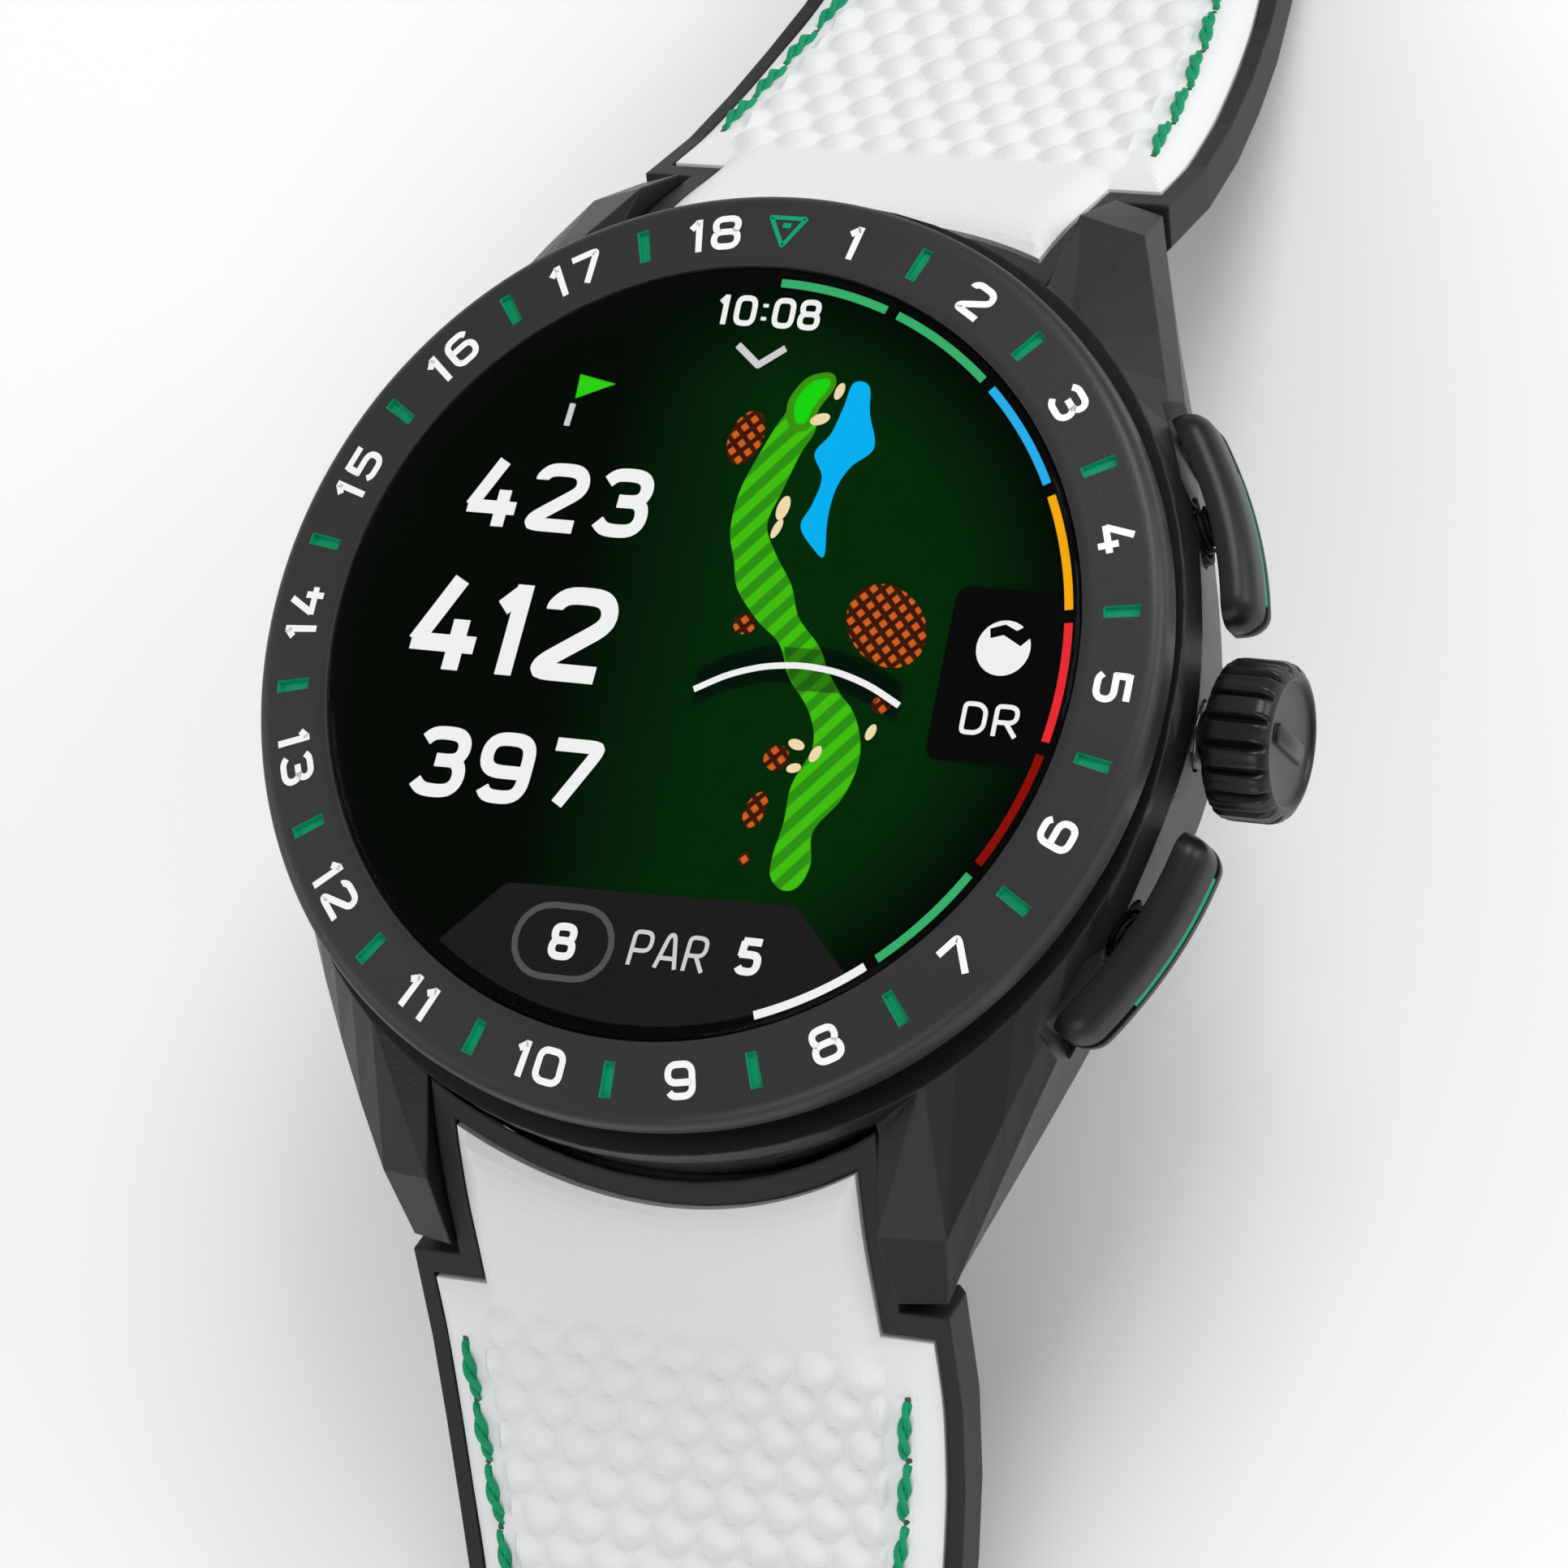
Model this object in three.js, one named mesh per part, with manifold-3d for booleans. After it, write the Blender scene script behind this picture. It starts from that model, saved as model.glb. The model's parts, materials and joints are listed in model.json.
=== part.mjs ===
// Golf GPS watch, in millimetres.
// +X points at 3 o'clock, where the crown is, +Y at 12 o'clock and +Z out of the screen.
// The origin is the centre of the flat sensor window on the case back.
// The watch lies open, screen up, resting on its two splayed strap halves.
import * as THREE from "three";
import { ConvexGeometry } from "three/addons/geometries/ConvexGeometry.js";
import { mergeVertices } from "three/addons/utils/BufferGeometryUtils.js";
import Module from "manifold-3d";

const wasm = await Module();
wasm.setup();

// ---------------------------------------------------------------------------
// Driving dimensions
// ---------------------------------------------------------------------------
const gap = 0.15; // clearance between neighbouring fixed pieces
const runGap = 0.1; // clearance round a shaft or a slide

// Head
const headHeight = 13.2; // sensor window to glass
const bezelRadius = 22.2;
const bezelHeight = 3.3; // visible height of the bezel above the case shoulder
const bezelFall = 0.45; // how far the bezel's top face falls towards its rim
const glassRadius = 18.4;
const glassThickness = 1.3;
const holeCount = 18; // numbered sectors on the bezel
const tickLength = 1.65;
const tickWidth = 0.55;
const tickDepth = 0.3;
const caseFloor = 1.6; // height of the case's flat underside
const wallThickness = 3.3; // case wall at 3 and 9 o'clock
const lugInner = 11.3; // half the gap between two lugs
const lugWidth = 2.9;
const lugLength = 4.5; // from the bezel's rim to the lug tip

// Crown and pushers
const crownRadius = 3.75;
const crownLength = 3.6;
const crownFlutes = 18;
const crownTravel = 0.5;
const stemRadius = 0.8;
const pusherAngle = 25; // degrees from 3 o'clock
const pusherHeight = 3.9;
const pusherThickness = 1.5;
const pusherTravel = 0.5;

// Inside
const displayThickness = 0.95;
const boardThickness = 0.8;
const sensorThickness = 1.5;
const windowRadius = 8.6;

// Strap
const barOffset = 2.2; // spring bar axis, out from the bezel's rim
const barHeight = 1.75; // spring bar axis above the sensor window
const barRadius = 0.75;
const strapWide = 13.6; // half width just past the lugs
const strapNarrow = 10.2; // half width at the clasp
const strapThickness = 2.6;
const leatherRim = 0.8; // width of the rubber rim round the leather
const leatherDepth = 1.2;
const leatherDome = 1.0;
const upperLength = 55.5; // spring bar to the clasp's bar, along Y
const lowerLength = 62;

// Clasp
const claspRadius = 62; // outer radius of the curved cover
const claspPlate = 1.2;
const bladePlate = 1.0;
const claspWidth = 10.4; // half width of the cover

// ---------------------------------------------------------------------------
// Derived heights and radii
// ---------------------------------------------------------------------------
const shoulderHeight = headHeight - bezelHeight;
const shoulderRadius = bezelRadius + 0.7;
const lugWallRadius = shoulderRadius - 0.3; // case wall between the lugs
const lugReach = bezelRadius + lugLength;
const mainBore = bezelRadius - wallThickness;
const seatBore = mainBore - 1.7;
const bezelSeat = bezelRadius - 2.0;
const glassBottom = headHeight - glassThickness;
const displayTop = glassBottom - gap;
const displayBottom = displayTop - displayThickness;
const chassisTop = displayBottom - gap;
const chassisBottom = chassisTop - 0.9;
const boardTop = chassisBottom - 0.3;
const boardBottom = boardTop - boardThickness;
const sensorBottom = 1.25;
const sensorTop = sensorBottom + sensorThickness;
const axisHeight = (shoulderHeight + caseFloor) / 2 + 0.55; // crown and pushers
const barY = bezelRadius + barOffset;
const tickMiddle = (glassRadius + bezelRadius) / 2;

// ---------------------------------------------------------------------------
// Finishes
// ---------------------------------------------------------------------------
function finish(color, roughness, metalness) {
  return new THREE.MeshStandardMaterial({ color, roughness, metalness });
}
const blackSteel = finish(0x2a2a2c, 0.5, 0.8);
const bezelCeramic = finish(0x2e2e30, 0.55, 0.2);
const glass = finish(0x0a0f0a, 0.05, 0.0);
const screen = finish(0x062006, 0.3, 0.0);
const rubber = finish(0x262626, 0.75, 0.0);
const leather = finish(0xe6e6e8, 0.6, 0.0);
const greenResin = finish(0x0a8a50, 0.4, 0.0);
const steel = finish(0xb8babd, 0.3, 1.0);
const darkPlastic = finish(0x1b1c1e, 0.6, 0.0);
const circuitBoard = finish(0x0c3b22, 0.5, 0.1);
const foil = finish(0x8e9196, 0.4, 0.6);
const gold = finish(0xc9a24a, 0.3, 1.0);
const smokedGlass = finish(0x0b0b10, 0.1, 0.0);

// ---------------------------------------------------------------------------
// Shape helpers
// ---------------------------------------------------------------------------
// A closed mesh as a manifold-3d solid.
function solid(geometry) {
  const bare = geometry.clone();
  bare.deleteAttribute("normal");
  bare.deleteAttribute("uv");
  const merged = mergeVertices(bare, 1e-4);
  const vertProperties = new Float32Array(merged.getAttribute("position").array);
  const triVerts = new Uint32Array(merged.index.array);
  return new wasm.Manifold(new wasm.Mesh({ numProp: 3, vertProperties, triVerts }));
}

// A manifold-3d solid as a flat-shaded three.js geometry.
function geometryOf(body) {
  const mesh = body.getMesh();
  const geometry = new THREE.BufferGeometry();
  geometry.setAttribute("position", new THREE.BufferAttribute(mesh.vertProperties, 3));
  geometry.setIndex(new THREE.BufferAttribute(mesh.triVerts, 1));
  const flat = geometry.toNonIndexed();
  flat.computeVertexNormals();
  return flat;
}

function cut(base, ...tools) {
  return geometryOf(tools.reduce((body, tool) => body.subtract(solid(tool)), solid(base)));
}

function join(base, ...others) {
  return geometryOf(others.reduce((body, other) => body.add(solid(other)), solid(base)));
}

function common(base, other) {
  return geometryOf(solid(base).intersect(solid(other)));
}

// A cylinder along Z from z0 to z1.
function post(radius, z0, z1, segments = 20, x = 0, y = 0) {
  const body = new THREE.CylinderGeometry(radius, radius, z1 - z0, segments);
  return body.rotateX(Math.PI / 2).translate(x, y, (z0 + z1) / 2);
}

// A cylinder along X from x0 to x1, centred on (y, z).
function axle(radius, x0, x1, y, z, segments = 16) {
  const body = new THREE.CylinderGeometry(radius, radius, x1 - x0, segments);
  return body.rotateZ(-Math.PI / 2).translate((x0 + x1) / 2, y, z);
}

// A box between two corners.
function block(low, high) {
  const size = high.map((value, axis) => value - low[axis]);
  const middle = high.map((value, axis) => (value + low[axis]) / 2);
  return new THREE.BoxGeometry(...size).translate(...middle);
}

// A ring or disc turned round Z from a closed profile of [radius, height] pairs.
function turned(profile, segments = 48) {
  const closed = [...profile, profile[0]].map(([r, z]) => new THREE.Vector2(r, z));
  return new THREE.LatheGeometry(closed, segments).rotateX(Math.PI / 2);
}

// A flat ring of rectangular section.
function ring(inner, outer, z0, z1, segments = 48) {
  return turned([[inner, z0], [outer, z0], [outer, z1], [inner, z1]], segments);
}

// An outline of [x, y] pairs extruded along Z.
function prism(outline, z0, z1) {
  const shape = new THREE.Shape(outline.map(([x, y]) => new THREE.Vector2(x, y)));
  const options = { depth: z1 - z0, bevelEnabled: false, curveSegments: 8 };
  return new THREE.ExtrudeGeometry(shape, options).translate(0, 0, z0);
}

// A side profile of [y, z] pairs extruded along X between -half and half.
function sideProfile(outline, half) {
  const shape = new THREE.Shape(outline.map(([y, z]) => new THREE.Vector2(y, z)));
  const options = { depth: 2 * half, bevelEnabled: false };
  const body = new THREE.ExtrudeGeometry(shape, options).translate(0, 0, -half);
  return body.rotateX(Math.PI / 2).rotateZ(Math.PI / 2);
}

// A skin through equal rings of points, closed by a fan at each end.
function loft(rings) {
  const count = rings[0].length;
  const points = rings.flat();
  const index = [];
  for (let r = 0; r + 1 < rings.length; r++) {
    for (let i = 0; i < count; i++) {
      const a = r * count + i;
      const b = r * count + ((i + 1) % count);
      index.push(a, b, b + count, a, b + count, a + count);
    }
  }
  const capEnd = (ringPoints, offset, reverse) => {
    const centre = new THREE.Vector3();
    ringPoints.forEach((point) => centre.addScaledVector(point, 1 / count));
    const middle = points.push(centre) - 1;
    for (let i = 0; i < count; i++) {
      const a = offset + i;
      const b = offset + ((i + 1) % count);
      index.push(...(reverse ? [middle, b, a] : [middle, a, b]));
    }
  };
  capEnd(rings[0], 0, true);
  capEnd(rings[rings.length - 1], (rings.length - 1) * count, false);
  const geometry = new THREE.BufferGeometry().setFromPoints(points);
  geometry.setIndex(signedVolume(points, index) < 0 ? index.reverse() : index);
  return geometry.toNonIndexed();
}

function signedVolume(points, index) {
  let sum = 0;
  for (let i = 0; i < index.length; i += 3) {
    const [a, b, c] = [points[index[i]], points[index[i + 1]], points[index[i + 2]]];
    sum += a.dot(new THREE.Vector3().crossVectors(b, c)) / 6;
  }
  return sum;
}

function arc(radius, from, to, steps, x = 0, y = 0) {
  return Array.from({ length: steps + 1 }, (_, i) => {
    const angle = from + ((to - from) * i) / steps;
    return [x + radius * Math.cos(angle), y + radius * Math.sin(angle)];
  });
}

// A coil spring along X, of round wire.
function coil(radius, wire, x0, x1, turns, y = 0, z = 0) {
  class Helix extends THREE.Curve {
    getPoint(t, target = new THREE.Vector3()) {
      const angle = 2 * Math.PI * turns * t;
      const x = x0 + wire + (x1 - x0 - 2 * wire) * t;
      return target.set(x, y + radius * Math.cos(angle), z + radius * Math.sin(angle));
    }
  }
  const outline = arc(wire, 0, 2 * Math.PI, 5).slice(0, 5);
  const section = new THREE.Shape(outline.map((p) => new THREE.Vector2(...p)));
  return new THREE.ExtrudeGeometry(section, { steps: turns * 8, extrudePath: new Helix() });
}

const watch = new THREE.Group();

function place(name, geometry, material, parent = watch) {
  const mesh = new THREE.Mesh(geometry, material);
  mesh.name = name;
  parent.add(mesh);
  return mesh;
}

// ---------------------------------------------------------------------------
// Case middle: a faceted barrel with four lugs
// ---------------------------------------------------------------------------
// Each edge of the flank is a curve in plan from 3 o'clock to the lug's outer corner,
// with its height along the way, and then the edge of the lug's end.
const flankSteps = 12;

function flankEdge({ start, pull, corner, inner, heightAt }) {
  const curve = new THREE.QuadraticBezierCurve(
    new THREE.Vector2(start, 0),
    new THREE.Vector2(start, pull),
    new THREE.Vector2(corner[0], corner[1])
  );
  const flank = curve.getPoints(flankSteps).map((p) => {
    return new THREE.Vector3(p.x, p.y, heightAt(p.y / corner[1]));
  });
  return [...flank, new THREE.Vector3(...inner)];
}

// The whole outline from one quarter of it, mirrored about both axes.
function fourfold(quarter, middle) {
  const mirror = (point, sx, sy) => new THREE.Vector3(sx * point.x, sy * point.y, point.z);
  const back = [...quarter].reverse();
  return [
    ...quarter,
    middle,
    ...back.map((p) => mirror(p, -1, 1)),
    ...quarter.slice(1).map((p) => mirror(p, -1, -1)),
    mirror(middle, 1, -1),
    ...back.slice(0, -1).map((p) => mirror(p, 1, -1)),
  ];
}

const lugOuter = lugInner + lugWidth;
const lugTopHeight = 4.75; // outer end of the lug's top facet
const lugTopInner = lugTopHeight + 1.15;
const lugEndY = lugReach - 2.4; // where the end bevel starts

function caseBody() {
  const foot = flankEdge({
    start: bezelRadius - 0.8,
    pull: 7,
    corner: [lugOuter - 1.2, lugReach - 0.9],
    inner: [lugInner, lugReach - 0.8, 0.5],
    heightAt: (s) => caseFloor - 1.2 * s ** 3,
  });
  const lowerRidge = flankEdge({
    start: bezelRadius + 0.4,
    pull: 7.5,
    corner: [lugOuter - 0.65, lugReach - 0.4],
    inner: [lugInner, lugReach, 2.1],
    heightAt: (s) => shoulderHeight - 1.5 - (shoulderHeight - 3) * s ** 2.2,
  });
  const upperRidge = flankEdge({
    start: bezelRadius + 0.1,
    pull: 7,
    corner: [lugOuter, lugEndY - 0.2],
    inner: [lugInner, lugEndY + 0.2, lugTopInner],
    heightAt: (s) => shoulderHeight - 0.4 - (shoulderHeight - 0.4 - lugTopHeight) * s ** 2.3,
  });
  const apexAngle = Math.acos((lugInner + 2.5) / shoulderRadius);
  const shoulder = upperRidge.slice(0, -1).map((_, i) => {
    const t = i / flankSteps;
    const radius = THREE.MathUtils.lerp(bezelRadius - 0.2, shoulderRadius, t);
    const angle = apexAngle * t;
    return new THREE.Vector3(radius * Math.cos(angle), radius * Math.sin(angle), shoulderHeight);
  });
  const innerAngle = Math.acos(lugInner / shoulderRadius);
  const corner = [shoulderRadius * Math.cos(innerAngle), shoulderRadius * Math.sin(innerAngle)];
  shoulder.push(new THREE.Vector3(...corner, shoulderHeight));
  return loft([
    fourfold(foot, new THREE.Vector3(0, lugReach - 0.3, 0.6)),
    fourfold(lowerRidge, new THREE.Vector3(0, lugReach, 2.1)),
    fourfold(upperRidge, new THREE.Vector3(0, lugEndY + 0.3, lugTopInner)),
    fourfold(shoulder, new THREE.Vector3(0, shoulderRadius, shoulderHeight)),
  ]);
}

// The slanted facet beside the strap, from the shoulder to the lug's tip.
function innerFacetTool(side, end) {
  const apexX = lugInner + 2.55;
  const apex = [apexX, Math.sqrt(shoulderRadius ** 2 - apexX ** 2), shoulderHeight + 0.2];
  const tip = [lugInner + 0.1, lugEndY + 0.3, lugTopInner];
  const root = [lugInner - 0.1, barY - 4.1, shoulderHeight - 1.95];
  const points = [];
  for (const [x, y, z] of [apex, tip, root]) {
    for (const [inward, up] of [[0, 0], [5, 0], [0, 6], [5, 6]]) {
      points.push(new THREE.Vector3(side * (x - inward), end * y, z + up));
    }
  }
  return new ConvexGeometry(points);
}

const backRadius = seatBore + 2.2;
const screwRadius = seatBore + 1.0;
const screwAngles = [45, 135, 225, 315].map(THREE.MathUtils.degToRad);

function radialHole(radius, from, to, degrees) {
  return axle(radius, from, to, 0, axisHeight).rotateZ(THREE.MathUtils.degToRad(degrees));
}

const tubeRadius = stemRadius + 0.75;
const caseEdge = bezelRadius + 0.4;
const pusherOut = bezelRadius + 2.1; // outer face of a pusher beside the crown
const pusherTip = [lugOuter + 5.2, lugReach - 11.2]; // its outer face at the lug end

// A pusher's plan outline, moved in from the outer face by a distance.
function pusherPlan(inset, steps = 10) {
  const curve = new THREE.QuadraticBezierCurve(
    new THREE.Vector2(pusherOut, 4.9),
    new THREE.Vector2(pusherOut - 0.8, 10.4),
    new THREE.Vector2(...pusherTip)
  );
  return Array.from({ length: steps + 1 }, (_, i) => {
    const point = curve.getPoint(i / steps);
    const along = curve.getTangent(i / steps);
    return [point.x - along.y * inset, point.y + along.x * inset];
  });
}

// The recess in the flank that a pusher sinks into when it is pressed.
function pusherRecess(mirror) {
  const depth = pusherThickness + pusherTravel + gap;
  const outline = [...pusherPlan(-4), ...pusherPlan(depth).reverse()];
  const [first, last] = [outline[outline.length - 1], outline[10]];
  outline.push([first[0], first[1] - 1.2], [pusherOut + 4, 3.7]);
  outline.splice(11, 0, [last[0] - 2.5, last[1] + 1.2]);
  const half = pusherHeight / 2 + gap;
  const plan = outline.map(([x, y]) => [x, mirror * y]);
  return prism(plan, axisHeight - half, axisHeight + half);
}

function caseMiddle() {
  const wall = post(lugWallRadius, -5, 20, 72);
  const strapGaps = [1, -1].map((end) => {
    const low = [-lugInner, Math.min(end * 5, end * 40), -5];
    const high = [lugInner, Math.max(end * 5, end * 40), 20];
    return cut(block(low, high), wall);
  });
  const facets = [1, -1].flatMap((end) => [1, -1].map((side) => innerFacetTool(side, end)));
  const carved = cut(caseBody(), ...strapGaps, ...facets);
  const lipHalf = lugInner + 2.5;
  const lip = common(
    ring(mainBore - 1, shoulderRadius, shoulderHeight - 1.3, shoulderHeight, 72),
    block([-lipHalf, -30, 0], [lipHalf, 30, 20])
  );
  const bores = [
    post(backRadius + gap, -5, caseFloor, 48),
    post(seatBore, -5, 20, 48),
    post(mainBore, caseFloor + 1.7, 20, 48),
    post(bezelSeat, shoulderHeight - 0.9, 20, 72),
    radialHole(tubeRadius + gap, mainBore - 2, 30, 0),
    radialHole(tubeRadius + gap, mainBore - 2, 30, pusherAngle),
    radialHole(tubeRadius + gap, mainBore - 2, 30, -pusherAngle),
    pusherRecess(1),
    pusherRecess(-1),
    ...screwAngles.map((a) => {
      return post(0.65, -5, caseFloor + 1.4, 12, screwRadius * Math.cos(a), screwRadius * Math.sin(a));
    }),
    ...[1, -1].flatMap((end) => [1, -1].map((side) => {
      const [x0, x1] = [side * (lugInner - 1), side * (lugInner + 1.6)].sort((a, b) => a - b);
      return axle(0.6, x0, x1, end * barY, barHeight, 16);
    })),
  ];
  return cut(join(carved, lip), ...bores);
}

place("case_middle", caseMiddle(), blackSteel);

// ---------------------------------------------------------------------------
// Bezel, glass and screen
// ---------------------------------------------------------------------------
const rimTop = headHeight - bezelFall;
const flangeRadius = bezelSeat - gap;
const glassLedge = glassRadius - 0.7;

function bezel() {
  const profile = [
    [glassLedge, glassBottom - gap],
    [mainBore + 0.35, glassBottom - gap],
    [mainBore + 0.35, shoulderHeight - 0.6],
    [flangeRadius, shoulderHeight - 0.6],
    [flangeRadius, shoulderHeight + 0.1],
    [bezelRadius - 0.9, shoulderHeight + 0.1],
    [bezelRadius - 0.9, shoulderHeight + 0.65],
    [bezelRadius - 0.2, shoulderHeight + 0.75],
    [bezelRadius, shoulderHeight + 1.1],
    [bezelRadius - 0.12, rimTop - 0.35],
    [bezelRadius - 0.25, rimTop - 0.12],
    [bezelRadius - 0.5, rimTop],
    [glassRadius + gap, headHeight],
    [glassRadius + gap, glassBottom - 0.05],
    [glassLedge, glassBottom - 0.05],
  ];
  const slope = bezelFall / (bezelRadius - glassRadius);
  const faceHeight = headHeight - slope * (tickMiddle - glassRadius);
  const ticks = Array.from({ length: holeCount - 1 }, (_, i) => {
    const half = [tickLength / 2, tickWidth / 2];
    const low = [tickMiddle - half[0], -half[1], faceHeight - tickDepth];
    const slot = block(low, [tickMiddle + half[0], half[1], headHeight + 1]);
    return slot.rotateZ(Math.PI / 2 - (2 * Math.PI * (i + 1)) / holeCount);
  });
  // A plain triangle marks the start of the round at 12 o'clock.
  const marker = prism([[-1.0, tickLength / 2], [0, -tickLength / 2], [1.0, tickLength / 2]], 0, 5);
  marker.translate(0, tickMiddle, faceHeight - tickDepth);
  return cut(turned(profile, 72), ...ticks, marker);
}

place("bezel", bezel(), bezelCeramic);
const gasketZ = [shoulderHeight - 0.88, shoulderHeight - 0.65];
place("bezel_gasket", ring(mainBore + 0.35, flangeRadius - 0.1, ...gasketZ), rubber);

function crystal() {
  const profile = [
    [0, glassBottom],
    [glassRadius, glassBottom],
    [glassRadius, headHeight - 0.1],
    [glassRadius - 0.2, headHeight + 0.02],
    [glassRadius - 1.4, headHeight + 0.1],
    [0, headHeight + 0.1],
  ];
  return new THREE.LatheGeometry(profile.map(([r, z]) => new THREE.Vector2(r, z)), 60).rotateX(Math.PI / 2);
}

place("crystal", crystal(), glass);

const displayRadius = glassLedge - gap;
place("display_panel", post(displayRadius, displayBottom, displayTop, 48), screen);
const frameTop = glassBottom - gap - 0.1;
place("display_frame", ring(displayRadius + gap, mainBore + 0.2, chassisTop, frameTop), darkPlastic);

// ---------------------------------------------------------------------------
// Inside the case
// ---------------------------------------------------------------------------
const wallRadius = seatBore - 1.0;

function chassis() {
  const plate = post(mainBore - 0.4, chassisBottom, chassisTop - gap, 48);
  const wall = ring(wallRadius - 0.9, wallRadius, sensorTop + gap, chassisBottom);
  const cableSlot = block([-4, wallRadius - 2, chassisBottom - 1], [4, wallRadius + 0.3, 20]);
  return cut(join(plate, wall), cableSlot);
}

place("chassis", chassis(), darkPlastic);

const roomRadius = wallRadius - 0.9 - gap;

function mainBoard() {
  const disc = post(roomRadius, boardBottom, boardTop, 40);
  const chips = [[-6, 3, 3.2, 3.2], [2, 5, 2.4, 3.6], [6, -4, 2, 2], [-4, -6, 3, 1.6]];
  const packages = chips.map(([x, y, a, b]) => {
    return block([x - a, y - b, boardTop - 0.2], [x + a, y + b, boardTop + 0.12]);
  });
  return join(disc, ...packages);
}

place("main_board", mainBoard(), circuitBoard);

const cellTop = boardBottom - gap;
const cellBottom = sensorTop + gap;
const motorX = -roomRadius + 4.6;
const speakerX = roomRadius - 3.0;

function battery() {
  const halfY = roomRadius * 0.72;
  const left = motorX + 4.6;
  const right = speakerX - 2.6;
  const corner = 1.2;
  const outline = [
    ...arc(corner, 0, Math.PI / 2, 4, right - corner, halfY - corner),
    ...arc(corner, Math.PI / 2, Math.PI, 4, left + corner, halfY - corner),
    ...arc(corner, Math.PI, 1.5 * Math.PI, 4, left + corner, corner - halfY),
    ...arc(corner, 1.5 * Math.PI, 2 * Math.PI, 4, right - corner, corner - halfY),
  ];
  return prism(outline, cellBottom, cellTop);
}

place("battery", battery(), foil);
place("haptic_motor", post(4.2, cellBottom, cellBottom + 2.7, 28, motorX, 0), steel);

function speaker() {
  const outline = [
    ...arc(2.0, 0, Math.PI, 8, speakerX, 4.2),
    ...arc(2.0, Math.PI, 2 * Math.PI, 8, speakerX, -4.2),
  ];
  return prism(outline, cellBottom, cellBottom + 2.9);
}

place("speaker", speaker(), darkPlastic);
place("sensor_module", post(windowRadius - 1.2, sensorBottom, sensorTop, 32), circuitBoard);

// ---------------------------------------------------------------------------
// Case back
// ---------------------------------------------------------------------------
const backTop = caseFloor - 0.1;
const plugRadius = seatBore - gap;
const contactPlaces = [-3.2, 3.2].map((x) => [x, -(windowRadius + seatBore) / 2]);

function caseBack() {
  const profile = [
    [windowRadius - 1.0, 0.95],
    [windowRadius + gap, 0.95],
    [windowRadius + gap, 0.2],
    [backRadius - 1.6, 0.35],
    [backRadius, 0.9],
    [backRadius, backTop],
    [plugRadius, backTop],
    [plugRadius, backTop + 0.15],
    [plugRadius - 0.6, backTop + 0.15],
    [plugRadius - 0.6, backTop + 0.65],
    [plugRadius, backTop + 0.65],
    [plugRadius, backTop + 0.9],
    [plugRadius - 1.6, backTop + 0.9],
    [plugRadius - 2.0, backTop],
    [windowRadius - 1.0, backTop - 0.3],
  ];
  const screwHoles = screwAngles.flatMap((a) => {
    const [x, y] = [screwRadius * Math.cos(a), screwRadius * Math.sin(a)];
    return [post(0.62, -1, 5, 12, x, y), post(1.2, -1, 0.85, 16, x, y)];
  });
  const contactHoles = contactPlaces.map(([x, y]) => post(1.0 + gap, -1, 0.9, 16, x, y));
  return cut(turned(profile), ...screwHoles, ...contactHoles);
}

place("case_back", caseBack(), blackSteel);
place("case_back_gasket", ring(plugRadius - 0.5, plugRadius, backTop + 0.2, backTop + 0.6), rubber);
place("sensor_window", post(windowRadius, 0, 0.85, 48), smokedGlass);

contactPlaces.forEach(([x, y], i) => {
  place(`charging_contact_${i + 1}`, post(1.0, 0.15, 0.8, 16, x, y), gold);
});

function screw() {
  const head = post(1.05, 0.4, 0.75, 16);
  const shank = post(0.5, 0.7, caseFloor + 1.2, 12);
  const slot = block([-0.8, -0.12, 0.3], [0.8, 0.12, 0.55]);
  return cut(join(head, shank), slot);
}

screwAngles.forEach((a, i) => {
  const mesh = place(`case_back_screw_${i + 1}`, screw(), steel);
  mesh.position.set(screwRadius * Math.cos(a), screwRadius * Math.sin(a), 0);
  mesh.rotation.z = a;
});

// ---------------------------------------------------------------------------
// Crown: turns and presses
// ---------------------------------------------------------------------------
const crownStart = caseEdge + crownTravel + 0.25;
const crownEnd = crownStart + crownLength;
const tubeStart = mainBore + 0.3;
const tubeEnd = caseEdge - 0.1;

function fluteOutline(x, scale) {
  const points = [];
  for (let i = 0; i < crownFlutes; i++) {
    const pitch = (2 * Math.PI) / crownFlutes;
    for (const [share, depth] of [[0.08, 0.45], [0.18, 0], [0.5, -0.06], [0.82, 0], [0.92, 0.45]]) {
      const radius = (crownRadius - depth) * scale;
      const angle = (i + share) * pitch;
      points.push(new THREE.Vector3(x, radius * Math.cos(angle), radius * Math.sin(angle)));
    }
  }
  return points;
}

function crownHead() {
  const body = loft([
    fluteOutline(crownStart, 0.9),
    fluteOutline(crownStart + 0.35, 1),
    fluteOutline(crownEnd - 0.45, 1),
    fluteOutline(crownEnd, 0.86),
  ]);
  const dish = axle(crownRadius * 0.72, crownEnd - 0.35, crownEnd + 1, 0, 0, 48);
  const bar = block([crownEnd - 0.6, -0.55, -1.5], [crownEnd - 0.05, 0.55, 1.5]);
  const bore = axle(stemRadius + 0.05, crownStart - 1, crownStart + 1.6, 0, 0);
  return cut(join(cut(body, dish), bar), bore);
}

const crownAxis = new THREE.Group();
crownAxis.position.z = axisHeight;
watch.add(crownAxis);
place("crown_head", crownHead(), blackSteel, crownAxis);
place("crown_stem", axle(stemRadius, mainBore - 1.2, crownStart + 1.5, 0, 0), steel, crownAxis);

function sleeve(counterbore, end) {
  const outside = axle(tubeRadius, tubeStart, end, 0, 0);
  const inside = axle(stemRadius + runGap, tubeStart - 1, end + 1, 0, 0);
  const pocket = axle(tubeRadius - 0.25, end - counterbore, end + 1, 0, 0);
  return cut(outside, inside, pocket);
}

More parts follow.
